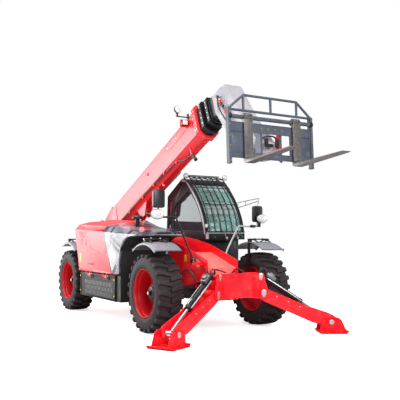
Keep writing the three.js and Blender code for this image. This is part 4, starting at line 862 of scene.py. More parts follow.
for name, metal in (("right", BLACK_ENAMEL), ("left", GREY_ENAMEL)):
    piece(f"mirror_stay_{name}", STAYS[name], MACHINE, metal, "chassis", instead_of=(f"mirror_{name}",))
    shells, pane = mirror_shell(MIRROR_AT[name])
    body, glass = oval_lamp(LAMP_AT[name])
    piece(f"mirror_and_lamp_shells_{name}", shells + [body], MACHINE, BLACK_NYLON, "chassis", 3.0)
    piece(f"mirror_pane_{name}", [pane], MACHINE, MIRROR_GLASS, "chassis", 0.5)
    piece(f"headlamp_lens_{name}", [glass], MACHINE, LAMP_LENS, "chassis")
clamps = [block(222, 278, -500, -425, 1098, 1190), block(-24, 24, 300.5, 345, 1150, 1230),
          tube([(-60, 880, 1702), (-120, 1000, 1702)], 26, 14), block(-150, -90, 1060, 1110, 1690, 1800),
          block(160, 220, -1090, -1020, 1790, 1815)]
piece("stay_clamps", clamps, MACHINE, BLACK_ENAMEL, "chassis", 3.0)
clamp_bolts = hex_bolt((278, -462, 1160), (1, 0, 0), 10) + hex_bolt((278, -462, 1120), (1, 0, 0), 10)
clamp_bolts += hex_bolt((24, 325, 1170), (1, 0, 0), 8) + hex_bolt((24, 325, 1210), (1, 0, 0), 8)
clamp_bolts += hex_bolt((-66, 930, 1702), (1, 0, 0.2), 8)
piece("stay_clamp_bolts", clamp_bolts, MACHINE, BRASS, "chassis")
knob = [turned([(0.5, -16), (24, -12), (34, 0), (30, 8), (0.5, 14)], 24),
        tube([(0, 0, 0), (60, -6, -8)], 6, 8)]
knob_place = MACHINE @ Matrix.Translation((-610, 292, 1712)) @ Matrix.Rotation(math.radians(-90), 4, "Z")
piece("corner_marker_lamp", [knob[0]], knob_place, LAMP_LENS, "chassis", 1.0)
piece("corner_marker_arm", [tube([(-612, 300, 1712), (-640, 330, 1700), (-600, 356, 1706)], 6, 8)], MACHINE,
      BLACK_ENAMEL, "chassis")

# ---------------------------------------------------------------------------
# Engine side: a cast block on its tray under a folded sheet-steel hood that hinges up from the middle.
# The hood is enamelled red; slots pressed through its side let the cooling air out, and black plates paint
# the shade inside them.
# ---------------------------------------------------------------------------
# Cast iron: brown-grey, rough from the sand, dull all over.
CAST_IRON = plated("sand_cast_iron", "5d5a57", "3a3837", 0.62, 40.0)
finish_cad(["engine_block"], CAST_IRON, 6.0)
# Panel enamel: a lighter red with no clear coat and a strong surface shine, so that broad sides look pale.
PANEL_RED = enamel("red_clear_coated_enamel", "fb1c2c", "f21a2a", 0.36, 0.0, shine=1.0)
finish_cad(["engine_hood"], PANEL_RED, 3.0)
SIDE_Y = -1200
HOOD_SEAM = [(-2751, 1363), (-2471, 1324), (-1978, 1213)]


def in_triangle(x, z, corners):
    """True where a point lies inside three corners."""
    signs = []
    for i, (ax, az) in enumerate(corners):
        bx, bz = corners[(i + 1) % 3]
        signs.append((bx - ax) * (z - az) - (bz - az) * (x - ax) > 0)
    return all(signs) or not any(signs)


VENT_CORNERS = [(-3137, 1649), (-2599, 1636), (-2997, 1305)]
# Each slot is a thin black plate on the side, painting the shade inside the opening.
slot_shade_plates = []
for column in range(7):
    for row in range(7):
        x, z = -3075 + 84 * column - 20 * row, 1612 - 46 * row
        if all(in_triangle(x + dx, z + dz, VENT_CORNERS) for dx, dz in ((-20, -12), (20, 12))):
            slot_outline = [(x - 40, z - 24), (x - 22, z - 26), (x + 40, z + 20), (x + 22, z + 24)]
            slot_shade_plates.append(plate(slot_outline, "y", SIDE_Y - 1.5, SIDE_Y + 2))
piece("hood_vent_slot_shade_plates", slot_shade_plates, MACHINE, SEAL_RUBBER, "engine_hood")
# Pressed facets stand a little proud of the side, in a darker copy of the same red that is painted shade.
PAINTED_SHADE_RED = enamel("red_enamel_in_shade", "e2101f", "cf0c1c", 0.34, 0.2)
facets = [plate([(-2656, 1541), (-2433, 1352), (-2751, 1376)], "y", SIDE_Y - 3, SIDE_Y + 1),
          plate([(-2470, 1298), (-1978, 1213), (-2199, 1196)], "y", SIDE_Y - 3, SIDE_Y + 1),
          plate([(-3109, 905), (-1480, 890), (-1413, 862), (-3090, 862)], "y", SIDE_Y - 5, SIDE_Y + 1),
          plate([(-1832, 1433), (-1812, 1433), (-1672, 1231), (-1694, 1231)], "y", SIDE_Y - 2, SIDE_Y + 1),
          tube([(x, SIDE_Y, z) for x, z in HOOD_SEAM], 5, 8)]
piece("hood_side_pressings", facets, MACHINE, PAINTED_SHADE_RED, "engine_hood", 1.0)
# Printed vinyl: flat warm yellow, a little scuffed; every plate and sticker is blank.
BLANK_YELLOW = moulded("blank_yellow_vinyl", "efc51d", "d9ae16", 0.40, 500.0, 0.0001)
piece("hood_blank_plate", [block(-3069, -2978, SIDE_Y - 1.5, SIDE_Y + 1, 1020, 1199)], MACHINE, BLANK_YELLOW,
      "engine_hood", 0.5)
# Folded seams run the length of the top, with a lifting grip near the front edge, in the darker red of
# painted shade.
hood_trim = [tube([(-3340, -905, 1829), (-1900, -905, 1770)], 5, 8),
             tube([(-2500, -1203, 1010), (-2500, -1232, 1010), (-2320, -1232, 1004), (-2320, -1203, 1004)], 9,
                  10)]
piece("hood_seam_and_grip", hood_trim, MACHINE, PAINTED_SHADE_RED, "engine_hood", 0.5)

# ---------------------------------------------------------------------------
# Side box below the hood: a bolted steel locker with rows of air slots and two over-centre latches, with
# black plates painting the shade in the slots.
# Textured black powder coat; brass cover screws at its corners.
# ---------------------------------------------------------------------------
# Black powder coat: fine texture, nearly matt.
POWDER_BLACK = enamel("black_powder_coat", "222024", "18171a", 0.5, 0.03, "6b655c", 0.10, 0.2)
finish_cad(["side_box"], POWDER_BLACK, 5.0)
# The air slots are black plates on the side, painting the shade inside the openings.
box_slot_shade_plates = []
for row, z in enumerate((479, 571, 663)):
    for k in range(19):
        x = -2727 + 74 * k + 37 * (row % 2)
        box_slot_shade_plates.append(plate([(x, z - 34), (x + 15, z - 42), (x + 30, z - 34), (x + 30, z + 34),
                            (x + 15, z + 42), (x, z + 34)],
                           "y", SIDE_Y - 2, SIDE_Y + 2))
piece("side_box_slot_shade_plates", box_slot_shade_plates, MACHINE, BLACK_NYLON, "chassis")
frame_bars = [block(-2975, -1195, SIDE_Y - 9, SIDE_Y + 1, 800, 834),
              block(-2975, -1195, SIDE_Y - 7, SIDE_Y + 1, 394, 420),
              block(-2975, -2945, SIDE_Y - 7, SIDE_Y + 1, 420, 800),
              block(-1230, -1195, SIDE_Y - 7, SIDE_Y + 1, 420, 800)]
piece("side_box_frame", frame_bars, MACHINE, POWDER_BLACK, "chassis", 2.0)
latch_plates, latch_hooks = [], []
for x0, x1 in ((-2634, -2298), (-1755, -1476)):
    latch_plates += [block(x0, x1, SIDE_Y - 14, SIDE_Y + 1, 752, 834),
                     block(x0 + 24, x1 - 24, SIDE_Y - 30, SIDE_Y - 10, 780, 812)]
    for x in (x0 + 46, x1 - 46):
        latch_hooks.append(tube([(x, SIDE_Y - 20, 770), (x, SIDE_Y - 34, 800), (x, SIDE_Y - 34, 848),
                                 (x, SIDE_Y - 12, 870)], 8, 10))
piece("latch_plates", latch_plates, MACHINE, BLACK_NYLON, "chassis", 3.0)
piece("latch_hooks", latch_hooks, MACHINE, RED_ENAMEL, "chassis")
screws = [part for x, z in ((-2960, 766), (-2960, 481), (-1212, 767), (-1212, 481)) for part in
          hex_bolt((x, SIDE_Y - 8, z), (0, -1, 0), 14)]
piece("side_box_screws", screws, MACHINE, BRASS, "chassis")

# ---------------------------------------------------------------------------
# Cowl and arch: a glossy moulded cover between the hood and the wheel, a flexible liner inside the arch.
# The cowl is polished dark grey plastic; a pale edging strip clips round its arch.
# ---------------------------------------------------------------------------


def polished_plastic():
    """Dark grey polished plastic under a thin clear skin, with cloudy light and dark patches that are painted
    reflections.
    """
    material, tree, shader, where = new_finish("polished_grey_plastic")
    cloud = add_node(tree, "ShaderNodeTexNoise", {"Scale": 2.6, "Detail": 4.0, "Distortion": 1.2},
                     {"Vector": where})
    # The light and dark clouds are painted reflections of the surroundings.
    painted_reflection_patch = add_node(tree, "ShaderNodeMapRange", {"From Min": 0.42, "From Max": 0.60},
                     {"Value": cloud.outputs["Fac"]})
    tone = add_node(tree, "ShaderNodeMix", {"data_type": "RGBA", 6: linear("2c2b33"), 7: linear("85828f")},
                    {0: painted_reflection_patch.outputs[0]})
    gloss = add_node(tree, "ShaderNodeMapRange", {"To Min": 0.10, "To Max": 0.24},
                     {"Value": cloud.outputs["Fac"]})
    tree.links.new(tone.outputs[2], shader.inputs["Base Color"])
    tree.links.new(gloss.outputs[0], shader.inputs["Roughness"])
    shader.inputs["Coat Weight"].default_value = 0.1
    shader.inputs["Specular IOR Level"].default_value = 0.2
    return material


COWL_PLASTIC = polished_plastic()
finish_cad(["cowl"], COWL_PLASTIC, 4.0)
finish_cad(["arch_liner"], SEAL_RUBBER, 2.0)
finish_cad(["air_intake"], BLACK_NYLON, 2.0)
arch_lip = [(-1050, -1202, 880), (-1032, -1202, 1130), (-985, -1202, 1300), (-880, -1202, 1440),
            (-700, -1202, 1515),
            (-540, -1202, 1532), (-340, -1202, 1542)]
edging = [tube(arch_lip, 9, 10), tube([(-340, -1202, 1542), (-338, -800, 1548), (-336, -320, 1548)], 9, 10)]
piece("arch_edging", edging, MACHINE, GREY_ENAMEL, "chassis")
dark_trim = [plate([(-1384, 872), (-1350, 872), (-1784, 1612), (-1818, 1612)], "y", SIDE_Y - 2, SIDE_Y + 1),
             plate([(-1380, 1534), (-1121, 1588), (-1121, 1598), (-1380, 1546)], "y", SIDE_Y - 2, SIDE_Y + 1),
             plate([(-1384, 872), (-1060, 872), (-1060, 890), (-1394, 890)], "y", SIDE_Y - 3, SIDE_Y + 1)]
piece("cowl_dark_trim", dark_trim, MACHINE, BLACK_NYLON, "chassis", 0.5)
cowl_screws = [part for x, z in ((-1222, 1099), (-1660, 1459),
                                 (-1120, 930)) for part in hex_bolt((x, SIDE_Y, z), (0, -1, 0), 9)]
piece("cowl_screws", cowl_screws, MACHINE, ZINC, "chassis")
cap_ribs = [turned([(101, 1842 + 10 * k), (105, 1842 + 10 * k), (105, 1847 + 10 * k), (101, 1847 + 10 * k)],
                   40) for k in range(3)]
upright = MACHINE @ Matrix.Translation((-1340, -720, 0)) @ Matrix.Rotation(math.radians(90), 4, "X")
piece("air_intake_ribs", cap_ribs, upright, BLACK_NYLON, "chassis", 0.5)

# ---------------------------------------------------------------------------
# Left side: a welded steel tank behind the cab and a bolted step with punched treads under the door.
# Satin black, with steel straps, a filler cap and a level glass on the tank.
# ---------------------------------------------------------------------------
finish_cad(["left_tank", "cab_step"], BLACK_ENAMEL, 5.0)
tank_parts = [plate([(1060, 536), (1144, 618), (1144, 1182), (1062, 1264), (330, 1264), (330, 1260.5),
                     (1060, 1260.5), (1140.5, 1180),
                     (1140.5, 620), (1060, 540), (1056, 540), (1056, 536)], "x", x, x + 46) for x in (-2860,
                         -2430)]
piece("tank_straps", tank_parts, MACHINE, ZINC, "chassis", 0.5)
filler = MACHINE @ Matrix.Translation((-2640, 900, 1260)) @ Matrix.Rotation(math.radians(90), 4, "X")
cap = [turned([(0.5, 0), (46, 0), (46, 18), (58, 20), (60, 44), (50, 52), (0.5, 54)], 32)]
piece("tank_filler_cap", cap, filler, BLACK_NYLON, "chassis", 1.0)
gauge = [block(-2350, -2326, 1140, 1147, 760, 1060)]
piece("tank_level_glass", gauge, MACHINE, LAMP_LENS, "chassis", 2.0)
treads = []
for x in range(-1840, -1270, 30):
    treads += [block(x, x + 16, 1020, 1215, 450, 454), block(x + 6, x + 20, 1066, 1194, 668, 672)]
piece("step_treads", treads, MACHINE, ZINC, "chassis", 0.5)
step_bolts = [part for x in (-1862, -1249) for z in (500, 820) for part in
              hex_bolt((x + (11 if x < -1500 else 0), 1060, z), (-1 if x < -1500 else 1, 0, 0), 10)]
piece("step_bolts", step_bolts, MACHINE, ZINC, "chassis")

# ---------------------------------------------------------------------------
# Boom: four box sections of folded high-strength steel that slide in one another on nylon pads.
# The outer one is red; the next two are black and the last one is pale grey with the head welded on.
# ---------------------------------------------------------------------------
PIVOT_X, PIVOT_Z = -4250, 1788
BOOM_ANGLE = 22.5
HEAD_REACH = 4965    # pivot to the end of the last section, drawn in
BOOM = MACHINE @ Matrix.Translation((PIVOT_X, 0, PIVOT_Z)) @ Matrix.Rotation(math.radians(-BOOM_ANGLE), 4,
    "Y")
finish_cad(["boom_base"], PANEL_RED, 3.0)
finish_cad(["boom_section_2", "boom_section_3"], BLACK_ENAMEL, 3.0)
# Pale grey enamel on the last section and its head, cool and slightly worn.
HEAD_GREY = enamel("light_grey_boom_enamel", "a9a6ac", "8d8a91", 0.30, 0.2, "8b857c", 0.14)
finish_cad(["boom_section_4"], HEAD_GREY, 5.0)
doublers = []
for s in (-1, 1):
    doublers.append(plate([(3197, 112), (3358, 39), (4116, 39), (4116, 196), (3929, 204), (3225, 183)], "y",
                          s * 170, s * 175))
    doublers.append(plate([(-110, -110), (60, -140), (420, -196), (640, -150), (640, 150), (420, 200),
                           (60, 176), (-84, 112)], "y", s * 170, s * 180))
    doublers.append(plate([(1280, -200), (1560, -150), (1830, -150), (2120, -200)], "y", s * 170, s * 176))
piece("boom_doubler_plates", doublers, BOOM, PANEL_RED, "boom_base", 2.0)
bosses = []
for u, w, r in ((4356, 150, 36), (4281, 31, 40), (2360, 60, 30)):
    for s in (-1, 1):
        bosses.append(tube([(u, s * 168, w), (u, s * 186, w)], r, 28))
piece("boom_pad_covers", bosses, BOOM, RED_ENAMEL, "boom_base", 1.5)
pad_bolts = []
for u in (4400, 4450):
    for w in (-170, -60, 60, 170):
        for s in (-1, 1):
            pad_bolts += hex_bolt((u - 5, s * 204, w), (0, s, 0), 9)
for u in (3250, 3620, 3990):
    for s in (-1, 1):
        pad_bolts += hex_bolt((u + 60, s * 175, 100), (0, s, 0), 8)
for w in (-60, 0, 60):
    for s in (-1, 1):
        pad_bolts += hex_bolt((90, s * 180, w), (0, s, 0), 12)
piece("boom_bolts", pad_bolts, BOOM, ZINC, "boom_base")


def section_outline(shrink):
    """The boom's eight-sided section, each side moved in by shrink."""
    w, top, low = 170 - shrink, 262 - shrink, -312 + shrink
    b, t = 97 - 0.5858 * shrink, 50 - 0.2929 * shrink
    return [(-w, low + b), (-w + b, low), (w - b, low), (w, low + b), (w, top - t), (w - t, top),
            (-w + t, top), (-w, top - t)]


def sleeve(inner, outer, start, end):
    """A hollow sleeve round the boom between two outlines."""
    count = len(inner)
    points = [(u, y, z) for u in (start, end) for ring in (inner, outer) for y, z in ring]
    faces = []
    for i in range(count):
        j = (i + 1) % count
        faces += [(i, j, 2 * count + j, 2 * count + i), (count + i, count + j, 3 * count + j, 3 * count + i),
                  (i, j, count + j, count + i), (2 * count + i, 2 * count + j, 3 * count + j, 3 * count + i)]
    return points, faces


black_band = [sleeve(section_outline(72 - 0.6), section_outline(72 - 3), 4806, 4944)]
piece("last_section_black_band", black_band, BOOM, BLACK_ENAMEL, "boom_section_4")
for body, shrink, mouth in (("boom_section_2", 24, 4635), ("boom_section_3", 48, 4800)):
    caps = []
    for w in (-150, -50, 50, 150):
        for s in (-1, 1):
            caps += hex_bolt((mouth - 30, s * (170 - shrink + 30), w), (0, s, 0), 9)
    for y in (-70, 0, 70):
        caps += hex_bolt((mouth - 30, y, 262 - shrink + 30), (0, 0, 1), 9)
    piece(f"{body}_pad_bolts", caps, BOOM, ZINC, body)
piece("collar_spot", [tube([(4600, -176, 196), (4600, -182, 196)], 16, 20)], BOOM, BLANK_YELLOW,
      "boom_section_2")

# Hydraulic lines: black steel pipes and hoses clipped along the boom.
# Hose rubber: satin black with a faint wrap mark.
HOSE_RUBBER = moulded("hose_rubber", "1e1f21", "2b2b2d", 0.38, 300.0, 0.0003)
lines = [tube([(500, -160, -236), (1200, -166, -238), (3050, -166, -240)], 9, 10),
         tube([(500, -148, -262), (1200, -154, -264), (3100, -154, -262)], 9, 10),
         tube([(3044, -150, -266), (3280, -150, -274), (3509, -150, -285), (3775, -150, -400),
               (4011, -150, -440)], 13, 12),
         tube([(500, 160, -236), (3050, 166, -240)], 9, 10)]
piece("boom_side_pipes", lines, BOOM, BLACK_ENAMEL, "boom_base")
fitting = [tube([(4011, -150, -440), (4060, -150, -450)], 24, 6),
           tube([(4060, -150, -440), (4120, -150, -560)], 26, 16),
           tube([(4120, -150, -556), (4136, -150, -592)], 32, 16)]
piece("boom_pipe_fitting", fitting, BOOM, BLACK_ENAMEL, "boom_base", 2.0)
hangers = [block(3480, 3500, -166, -130, -320, -262), block(4040, 4064, -166, -120, -470, -300)]
hangers += [block(u, u + 26, -176, -128, -280, -222) for u in (700, 1250, 1950, 2500, 2980)]
for u in (2500, 2720):
    hangers.append(plate([(u, -306), (u + 46, -306), (u + 40, -370), (u + 96, -392), (u + 92, -408),
                          (u + 14, -392)], "y", -96, -84))
piece("boom_pipe_hangers", hangers, BOOM, RED_ENAMEL, "boom_base", 1.5)
top_hose = [tube([(560, -40, 268), (1500, -46, 270), (2900, -46, 270), (4380, -46, 270)], 8, 8),
            tube([(560, -10, 268), (2900, -16, 270), (4380, -16, 270)], 8, 8)]
top_hose += [block(u, u + 22, -64, 0, 261, 282) for u in (900, 1700, 2500, 3300, 4100)]
piece("boom_top_hoses", top_hose, BOOM, HOSE_RUBBER, "boom_base")
finish_cad(["lift_cylinder_barrel"], BLACK_ENAMEL, 2.0)
# Hard chrome: mirror bright, on every cylinder rod.
HARD_CHROME = plated("hard_chrome", "eceff2", "c9cdd2", 0.10, 30.0)
finish_cad(["lift_cylinder_rod"], HARD_CHROME)

# ---------------------------------------------------------------------------
# Work lamps at the boom's mouth: one round and one square lamp on folded brackets.
# Nylon housings with clear lenses; the brackets are bolted to the first section.
# ---------------------------------------------------------------------------
lamp_place = MACHINE @ Matrix.Translation((-450, -378, 3713)) @ Matrix.Rotation(math.radians(-90), 4, "Z")
shell = [turned([(0.5, -60), (36, -58), (58, -30), (68, 20), (66, 34), (0.5, 24)], 36),
         block(-12, 12, -40, 0, -120, -60)]
piece("work_lamp_shell", shell, lamp_place, BLACK_NYLON, "boom_base", 1.5)
piece("work_lamp_lens", [turned([(0.5, 26), (63, 26), (63, 36), (44, 46), (0.5, 52)], 36)], lamp_place,
      LAMP_LENS, "boom_base")
arms = [block(-470, -430, -400, -168, 3585, 3600), block(-462, -438, -392, -366, 3598, 3660),
        block(-480, -420, -182, -168, 3560, 3655)]
piece("work_lamp_bracket", arms, MACHINE, BLACK_ENAMEL, "boom_base", 2.0)
piece("second_lamp_shell", [block(-470, -400, -308, -196, 3442, 3536)], MACHINE, BLACK_NYLON, "boom_base",
      8.0)
piece("second_lamp_lens", [block(-400, -394, -298, -206, 3452, 3526)], MACHINE, LAMP_LENS, "boom_base", 2.0)
piece("second_lamp_plate", [block(-480, -466, -316, -168, 3420, 3552)], MACHINE, RED_ENAMEL, "boom_base", 2.0)

# ---------------------------------------------------------------------------
# Boom head: plates welded into a goose neck that carries the tilt pin, with hose couplings on its side.
# Pale grey enamel; the couplings wear red caps and black sockets.
# ---------------------------------------------------------------------------
END_X = PIVOT_X + HEAD_REACH * math.cos(math.radians(BOOM_ANGLE))
END_Z = PIVOT_Z + HEAD_REACH * math.sin(math.radians(BOOM_ANGLE))
TILT_X, TILT_Z = END_X + 1223, END_Z - 928
head_parts = []
for s in (-1, 1):
    head_parts.append(tube([(TILT_X, s * 150, TILT_Z), (TILT_X, s * 166, TILT_Z)], 92, 40))
    head_parts.append(plate([(END_X + 140, END_Z - 150), (END_X + 420, END_Z - 440),
                             (END_X + 600, END_Z - 300),
                             (END_X + 360, END_Z + 60)], "y", s * 150, s * 155))
for k in range(9):
    t = k / 8
    x, z = END_X + 400 + 660 * t, END_Z + 190 - 740 * t ** 1.15
    head_parts += hex_bolt((x + 10, -100, z - 4), (0.7, 0, 0.7), 7) + hex_bolt((x + 10, 100, z - 4),
        (0.7, 0, 0.7), 7)
piece("boom_head_plates", head_parts, MACHINE, HEAD_GREY, "boom_section_4", 2.0)
couplings, red_caps, sockets = [], [], []
for k, (dx, dz) in enumerate(((250, 60), (330, -30), (410, -120), (480, -220))):
    x, z = END_X + dx, END_Z + dz
    couplings.append(tube([(x, -148, z), (x, -192, z)], 19, 6))
    (red_caps if k % 2 else sockets).append(tube([(x, -188, z), (x, -222, z)], 24, 16))
piece("head_couplings", couplings, MACHINE, ZINC, "boom_section_4", 1.0)
piece("head_red_caps", red_caps, MACHINE, RED_ENAMEL, "boom_section_4", 2.0)
piece("head_black_sockets", sockets + [block(END_X + 180, END_X + 300, -170, -148, END_Z - 90, END_Z + 10)],
      MACHINE, BLACK_NYLON, "boom_section_4", 2.0)
hoses = [tube([(END_X + 250, -205, END_Z + 40), (END_X + 330, -215, END_Z - 160),
               (END_X + 620, -200, END_Z - 480),
               (END_X + 900, -180, END_Z - 760), (END_X + 1130, -175, END_Z - 880)], 13, 12),
         tube([(END_X + 410, -205, END_Z - 130), (END_X + 560, -196, END_Z - 330),
               (END_X + 820, -178, END_Z - 640),
               (END_X + 1080, -172, END_Z - 820)], 11, 12)]
piece("head_hoses", hoses, MACHINE, HOSE_RUBBER, "boom_section_4")
pins = [part for y in (-168, 168) for part in hex_bolt((TILT_X, y, TILT_Z), (0, y, 0), 26)]
piece("tilt_pin_caps", pins, MACHINE, ZINC, "boom_section_4")

# ---------------------------------------------------------------------------
# Fork carriage: rolled side posts, a backrest and two cross plates, welded up and hung on the tilt pin.
# Charcoal enamel, rubbed pale on the faces that loads touch; black couplings sit in its open middle.
# ---------------------------------------------------------------------------
CARRIAGE = MACHINE @ Matrix.Translation((TILT_X, 0, TILT_Z)) @ Matrix.Rotation(math.radians(-2.3), 4, "Y")
# Charcoal enamel with a blue cast, scuffed to bare steel in patches.
CHARCOAL_ENAMEL = enamel("charcoal_blue_enamel", "4a515e", "343a44", 0.38, 0.1, "85878b", 0.30)
# Forged fork steel: dark, brown-grey, worn brighter along the blade.
FORK_STEEL = plated("forged_fork_steel", "8c8886", "5c5957", 0.45, 24.0)
finish_cad(["fork_carriage"], CHARCOAL_ENAMEL, 4.0)
finish_cad(["fork_left", "fork_right"], FORK_STEEL, 4.0)
welds = []
for z in (216, 344, -160, -80):
    welds.append(tube([(200.5, -700, z), (200.5, 700, z)], 6, 8))
for s in (-1, 1):
    welds += [tube([(196, s * 705, -150), (196, s * 705, 510)], 6, 8),
              tube([(193, s * 500, -150), (193, s * 500, 320)], 5, 8)]
    welds += [tube([(224, s * 727, z), (232, s * 727, z)], 15, 20) for z in (-180, 60, 420)]
piece("carriage_welds", welds, CARRIAGE, CHARCOAL_ENAMEL, "carriage", 0.5)
carriage_bolts = []
for s in (-1, 1):
    for z in (-210, 0, 140, 300, 480):
        carriage_bolts += hex_bolt((225, s * 727, z), (1, 0, 0), 9)
    carriage_bolts += hex_bolt((200, s * 60, 280), (1, 0, 0), 14) + hex_bolt((200, s * 180, 280), (1, 0, 0),
        14)
piece("carriage_bolts", carriage_bolts, CARRIAGE, BRASS, "carriage")
stops = [tube([(205, s * 745, 420), (205, s * 700, 420)], 42, 20) for s in (-1, 1)]
stops += [block(180, 214, -120, -70, 30, 150), block(180, 214, 70, 120, 30, 150)]
stops += [tube([(150, -40, 60), (150, 40, 60)], 26, 16),
          tube([(120, -150, 150), (160, -60, 190), (170, 60, 190), (120, 150, 150)], 12, 12)]
piece("carriage_stops_and_couplings", stops, CARRIAGE, BLACK_ENAMEL, "carriage", 2.0)
# The brace linings take the darker red of painted shade.
inside_red = [plate([(-60, -52), (36, -70), (176, -180), (176, 320), (144, 320), (30, 84), (-60, 52)], "y",
                    s * 159, s * 157) for s in (-1, 1)]
piece("carriage_brace_linings", inside_red, CARRIAGE, PAINTED_SHADE_RED, "carriage")
for name, s in (("left", 1), ("right", -1)):
    worn = [block(203.7, 205, s * 430 - 60, s * 430 + 60, -120, 380),
            tube([(228, s * 430 - 40, 452), (228, s * 430 + 40, 452)], 14, 16)]
    piece(f"fork_shank_wear_{name}", worn, CARRIAGE, ZINC, f"fork_{name}", 1.0)

# ---------------------------------------------------------------------------
# Stabilisers: a welded bracket on the nose holds two arms, each with a hinged foot and a cylinder.
# All red enamel; the cylinders' barrels are black and their rods hard chrome.
# ---------------------------------------------------------------------------
arm_names = [f"stabiliser_arm_{side}" for side in ("left", "right")]
foot_names = [f"stabiliser_foot_{side}" for side in ("left", "right")]
# A deeper red with less shine, on the feet and bracket.
FOOT_RED = enamel("red_foot_enamel", "f8061a", "ea0616", 0.34, 0.05, shine=0.15)
finish_cad(["stabiliser_bracket", *arm_names], RED_ENAMEL, 3.0)
finish_cad(foot_names, FOOT_RED, 2.0)
finish_cad([f"stabiliser_cylinder_{side}_barrel" for side in ("left", "right")], BLACK_ENAMEL, 1.5)
finish_cad([f"stabiliser_cylinder_{side}_rod" for side in ("left", "right")], HARD_CHROME)
# Cast valve metal: dull, mid grey.
VALVE_METAL = plated("cast_valve_metal", "8d9094", "54575b", 0.42, 40.0)
SPLAY = math.radians(28)
PLATE_REACH = 140
PIVOT = Vector((950, 420, 646))
FOOT = Vector((1445, 1360, 180))
arm_out = Vector((math.sin(SPLAY), math.cos(SPLAY), 0))
FOOT_AT = ((FOOT - PIVOT).dot(arm_out), FOOT.z - PIVOT.z)
CYLINDER_AT = ((Vector((925, 380, 0)) - PIVOT).dot(arm_out), 261)
ARM_LENGTH = math.hypot(*FOOT_AT)
ARM_DROP = math.atan2(-FOOT_AT[1], FOOT_AT[0])


def stabiliser_frame(side):
    """X out along the arm, Y back to the machine, Z up, from the arm's pivot."""
    back = Vector((-math.cos(SPLAY), math.sin(SPLAY), 0))
    origin = PIVOT + back * PLATE_REACH
    turn = Matrix(((arm_out.x, back.x, 0, origin.x), (arm_out.y, back.y, 0, origin.y), (0, 0, 1, origin.z),
                   (0, 0, 0, 1)))
    return MACHINE @ Matrix.Scale(side, 4, (0, 1, 0)) @ turn


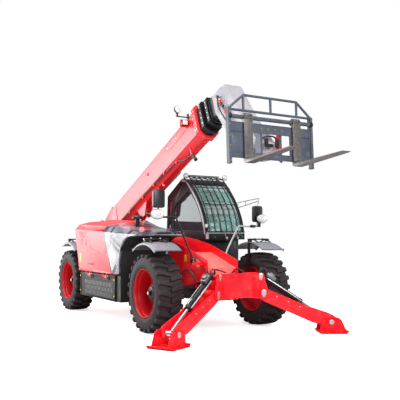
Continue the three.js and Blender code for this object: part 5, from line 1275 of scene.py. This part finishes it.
for name, side in (("left", 1), ("right", -1)):
    base = stabiliser_frame(side)
    arm = base @ Matrix.Rotation(ARM_DROP, 4, "Y")
    foot = base @ Matrix.Translation((FOOT_AT[0], 0, FOOT_AT[1]))
    caps = []
    for a, z, r in ((0, 0, 52), (CYLINDER_AT[0], CYLINDER_AT[1], 42)):
        caps += [tube([(a, s * 139, z), (a, s * 150, z)], r, 32) for s in (-1, 1)]
    caps += [plate([(-180, -70), (-60, -76), (-40, -40), (-40, 180), (-90, 250), (-180, 250)], "y", -146,
                   -140)]
    piece(f"bracket_bosses_{name}", caps, base, FOOT_RED, "chassis", 2.0)
    # Each pin ends in a plated disc with a keeper tab that is bolted to the plate.
    pins = []
    for a, z, r in ((0, 0, 40), (CYLINDER_AT[0], CYLINDER_AT[1], 34)):
        for s in (-1, 1):
            pins += [tube([(a, s * 149, z), (a, s * 157, z)], r, 28),
                     plate([(a - r, z - 8), (a - 14, z - r - 34), (a + 14, z - r - 34), (a + r, z - 8)], "y",
                           s * 149, s * 153)]
    piece(f"bracket_pin_discs_{name}", pins, base, ZINC, "chassis", 1.0)
    keepers = [part for a, z, r in ((0, 0, 40), (CYLINDER_AT[0], CYLINDER_AT[1], 34)) for s in (-1, 1)
               for part in hex_bolt((a, s * 153, z - r - 20), (0, s, 0), 8)]
    piece(f"bracket_pin_bolts_{name}", keepers, base, BRASS, "chassis")
    ribs = [plate([(120, -60), (ARM_LENGTH - 330, -52), (ARM_LENGTH - 330, -38), (120, -46)], "y", s * 112,
                  s * 118) for s in (-1, 1)]
    piece(f"arm_ribs_{name}", ribs, arm, RED_ENAMEL, f"arm_{name}", 1.5)
    arm_screws = [part for a in (220, 420, 620) for s in (-1, 1) for part in hex_bolt((a, s * 112, 20),
        (0, s, 0), 9)]
    piece(f"arm_screws_{name}", arm_screws, arm, ZINC, f"arm_{name}")
    foot_pins = [tube([(ARM_LENGTH, s * 145, 0), (ARM_LENGTH, s * 162, 0)], 38, 28) for s in (-1, 1)]
    piece(f"foot_pin_discs_{name}", foot_pins, arm, ZINC, f"arm_{name}", 1.5)
    grips = [block(-150 + 50 * k, -126 + 50 * k, -205, 205, -181, -179.5) for k in range(7)]
    grips += [plate([(-120, -160), (160, -160), (110, -60), (-80, -60)], "y", s * 144, s * 148) for s in (-1,
        1)]
    grips += [tube([(-150, s * 60, -160), (210, s * 60, -160)], 12, 10) for s in (-2, -1, 1, 2)]
    piece(f"foot_ribs_{name}", grips, foot, FOOT_RED, f"foot_{name}", 1.5)
    reach = Vector((FOOT_AT[0] - CYLINDER_AT[0], 0, FOOT_AT[1] - CYLINDER_AT[1]))
    cylinder = base @ Matrix.Translation((CYLINDER_AT[0], 0,
                                          CYLINDER_AT[1])) @ Matrix.Rotation(math.atan2(-reach.z, reach.x), 4,
                                              "Y")
    pipe = [tube([(130, -62, 20), (200, -64, 20), (720, -64, 20), (760, -50, 14)], 9, 10),
            tube([(130, 62, 20), (200, 64, 20), (720, 64, 20), (760, 50, 14)], 9, 10)]
    piece(f"cylinder_pipes_{name}", pipe, cylinder, ZINC, f"arm_barrel_{name}")
    valve = [block(90, 250, -44, 44, 44, 104), block(130, 210, -30, 30, 104, 130),
             tube([(120, 0, 74), (70, 0, 74)], 18, 6)]
    piece(f"lock_valve_{name}", valve, cylinder, VALVE_METAL, f"arm_barrel_{name}", 2.0)
    # The valve's hoses loop back to the bracket; they are drawn short of it and end in their unions.
    loops = [tube([(80, 24, 74), (20, 40, 120), (-30, 60, 100), (-20, 64, 40)], 11, 12),
             tube([(80, -24, 74), (10, -44, 128), (-36, -62, 104), (-24, -66, 40)], 11, 12)]
    piece(f"valve_hoses_{name}", loops, cylinder, HOSE_RUBBER, f"arm_barrel_{name}")

# ---------------------------------------------------------------------------
# Nose: welded stiffeners, blank plates and hose loops between the chassis and the stabiliser bracket.
# Red enamel and black hose; the bracket hangs from the beam on four large bolts.
# ---------------------------------------------------------------------------
nose = []
for s in (-1, 1):
    nose.append(plate([(98, 683), (98, 827), (-260, 827), (-392, 760), (-392, 683)], "y", s * 300, s * 312))
    nose.append(plate([(330, 560), (640, 600), (640, 860), (330, 1010)], "y", s * 231, s * 240))
nose.append(tube([(640, 0, 905), (812, 0, 905)], 34, 24))
piece("nose_stiffeners", nose, MACHINE, FOOT_RED, "chassis", 2.0)
pale = [plate([(392, 906), (394, 1012), (382, 1014), (382, 906)], "y", -262, 262),
        plate([(380, 1014), (-380, 1249), (-380, 1246), (378, 1011)], "y", -262, 262)]
# The sloping cover catches the sky: its paler red, with creases of lighter tone, is a painted reflection of
# it.
SKY_REFLECTION_RED = enamel("red_enamel_with_painted_sky_reflection", "f98a82", "f4443f", 0.20, 0.5, "f9d8d2", 0.4)
piece("nose_cover", pale, MACHINE, SKY_REFLECTION_RED, "chassis")
bracket_bolts = []
for y in (-190, -70, 70, 190):
    bracket_bolts += hex_bolt((735, y * 0.8, 560), (0, 0, -1), 16)
piece("bracket_bolts", bracket_bolts, MACHINE, ZINC, "chassis")
piece("cheek_blank_plates", [block(-330, -262, -302, -300, 1096, 1210),
                             block(96, 172, -302, -300, 1010, 1052)], MACHINE,
      BLANK_YELLOW, "chassis", 0.5)
loops = [tube([(-397, -330, 852), (-280, -345, 940), (-116, -350, 965), (40, -345, 900), (154, -330, 767)],
              14, 12),
         tube([(390, -150, 860), (470, -190, 980), (600, -200, 990), (760, -170, 960)], 13, 12),
         tube([(390, 150, 860), (470, 190, 980), (600, 200, 990), (760, 170, 960)], 13, 12)]
piece("nose_hoses", loops, MACHINE, HOSE_RUBBER, "chassis")
